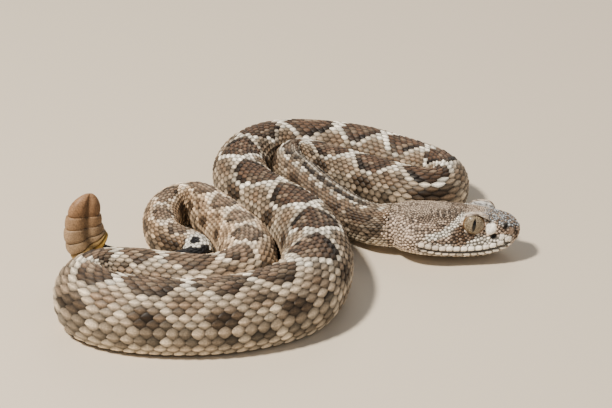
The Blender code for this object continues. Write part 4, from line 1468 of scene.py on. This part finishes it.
class SNAKE_OT_rattle(bpy.types.Operator):
    """Build the lobed horn rings of the rattle"""

    bl_idname = "snake.rattle"
    bl_label = "Rattle"

    def execute(self, context):
        rows, step, length = smooth_line(RATTLE_AXIS)
        ticks = np.arange(len(rows))
        thin = np.array((-math.sin(RATTLE_FACING), math.cos(RATTLE_FACING), 0.0))
        angles = 2.0 * np.pi * np.arange(RATTLE_SIDES) / RATTLE_SIDES
        across, depth = np.cos(angles), np.sin(angles)
        groove = 1.0 - RATTLE_GROOVE[0] * bell(across, 0.0, RATTLE_GROOVE[1])
        shadow = 1.0 - RATTLE_SHADOW[0] * bell(across, 0.0, RATTLE_SHADOW[1])
        full = np.sign(depth) * np.abs(depth) ** 0.8
        points, colours, faces = [], [], []
        at = RATTLE_START
        base = 0
        for k, (long, half) in enumerate(RATTLE_RINGS):
            last = k == len(RATTLE_RINGS) - 1
            profile = BUTTON_PROFILE if last else RING_PROFILE
            for share, swell in profile:
                mark = np.clip(at + share * long, 0.0, length - 0.01)
                near = np.clip(mark + np.array((-0.8, 0.0, 0.8)), 0.0, length) / step
                before, middle, after = np.column_stack([np.interp(near, ticks, row) for row in rows.T])
                broad = unit(np.cross(unit(after - before), thin))
                if last:
                    middle = middle - broad * (BUTTON_LEAN * max(share, 0.0) ** 2)
                points.append(
                    middle
                    + broad * (half * swell * across)[:, None]
                    + thin * (half * swell * RATTLE_THICKNESS * full * groove)[:, None]
                )
                # Painted shade where the rings meet: darker at each ring's root and, but for the button,
                # at its rim.
                dark = 0.78 + 0.22 * ramp(share, -0.05, 0.25)
                dark *= 1.0 - 0.18 * ramp(share, 0.8, 1.1) * (not last)
                colours.append(np.array(linear(RING_COLOURS[k])) * dark * shadow[:, None])
            quads = grid_faces(len(profile), RATTLE_SIDES, True)
            faces += [tuple(base + i for i in face) for face in quads]
            end = base + len(profile) * RATTLE_SIDES
            faces.append(tuple(range(base, base + RATTLE_SIDES)))
            faces.append(tuple(range(end - 1, end - 1 - RATTLE_SIDES, -1)))
            base = end
            at += long + RATTLE_GAP
        # Horn of the rattle is dry keratin with a satin shine.
        shader = keratin_material("Rattle horn", 0.46, 0.3)
        piece = mesh_object("rattle", np.vstack(points), faces, shader, np.vstack(colours))
        finish_piece(piece, [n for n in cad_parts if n.startswith("rattle")])
        return {"FINISHED"}


FLOOR_HALF = 3.0
# The photograph's view: how far the camera looks down, the point it aims at, its distance and lens.
VIEW_TILT = math.radians(24.0)
VIEW_AIM = Vector((0.004, 0.0351, 0.0))
VIEW_LENS = 200.0
# Lamps: name, place, power in watts and width.
LAMPS = (
    ("key", (-0.45, -0.30, 0.85), 19.0, 0.12),
    ("fill", (0.9, -0.6, 0.5), 1.6, 0.9),
    ("back", (0.1, 0.9, 0.6), 3.0, 0.6),
)
LAMP_COLOUR = "#fff4e4"
SKY_COLOUR = "#e8eef5"
SKY_STRENGTH = 0.30


class SNAKE_OT_stage(bpy.types.Operator):
    """Place the floor, the soft studio lights and the camera"""

    bl_idname = "snake.stage"
    bl_label = "Stage"

    def execute(self, context):
        scene = context.scene
        # Painted board, so matt that it shows no reflection.
        values = {"Base Color": (*linear("#d9cdbb"), 1.0), "Roughness": 0.85}
        shader = shader_material("Pale studio floor", values)[0]
        sheet = bmesh.new()
        bmesh.ops.create_grid(sheet, x_segments=1, y_segments=1, size=FLOOR_HALF)
        data = bpy.data.meshes.new("floor")
        sheet.to_mesh(data)
        sheet.free()
        floor = linked_object("floor", data, shader)
        camera = bpy.data.objects.new("camera", bpy.data.cameras.new("camera"))
        scene.collection.objects.link(camera)
        camera.location = VIEW_AIM + Vector((0.0, -math.cos(VIEW_TILT), math.sin(VIEW_TILT)))
        camera.rotation_euler = (math.pi / 2.0 - VIEW_TILT, 0.0, 0.0)
        camera.data.sensor_width = 36.0
        camera.data.lens = VIEW_LENS
        camera.data.clip_start = 0.01
        scene.camera = camera
        for name, place, power, wide in LAMPS:
            lamp = bpy.data.lights.new(name, "AREA")
            lamp.energy = power
            lamp.size = wide
            lamp.color = linear(LAMP_COLOUR)
            made = bpy.data.objects.new(name, lamp)
            made.location = place
            made.rotation_euler = (-made.location).to_track_quat("-Z", "Y").to_euler()
            scene.collection.objects.link(made)
        world = bpy.data.worlds.new("soft sky")
        world.use_nodes = True
        sky = world.node_tree.nodes["Background"]
        sky.inputs["Color"].default_value = (*linear(SKY_COLOUR), 1.0)
        sky.inputs["Strength"].default_value = SKY_STRENGTH
        scene.world = world
        return {"FINISHED"}


class SNAKE_PT_panel(bpy.types.Panel):
    """Lists the sizes, the colours and the buttons that build each piece"""

    bl_label = "Diamondback Rattlesnake"
    bl_idname = "SNAKE_PT_panel"
    bl_space_type = "VIEW_3D"
    bl_region_type = "UI"
    bl_category = "Snake"

    def draw(self, context):
        layout = self.layout
        for group in (context.scene.snake_coat, context.scene.snake_colours):
            for key in type(group).__annotations__:
                layout.prop(group, key)
        for step in STEPS:
            layout.operator(step.bl_idname)


STEPS = (
    SNAKE_OT_skin,
    SNAKE_OT_body_scales,
    SNAKE_OT_belly,
    SNAKE_OT_head_scales,
    SNAKE_OT_eyes,
    SNAKE_OT_rattle,
    SNAKE_OT_stage,
)
CLASSES = (SnakeCoat, SnakeColours, *STEPS, SNAKE_PT_panel)


def register():
    for cls in CLASSES:
        bpy.utils.register_class(cls)
    bpy.types.Scene.snake_coat = bpy.props.PointerProperty(type=SnakeCoat)
    bpy.types.Scene.snake_colours = bpy.props.PointerProperty(type=SnakeColours)


def unregister():
    del bpy.types.Scene.snake_colours
    del bpy.types.Scene.snake_coat
    for cls in reversed(CLASSES):
        bpy.utils.unregister_class(cls)


def main():
    register()
    bpy.ops.snake.skin()
    bpy.ops.snake.body_scales()
    bpy.ops.snake.belly()
    bpy.ops.snake.head_scales()
    bpy.ops.snake.eyes()
    bpy.ops.snake.rattle()
    bpy.ops.snake.stage()


if __name__ == "__main__":
    main()
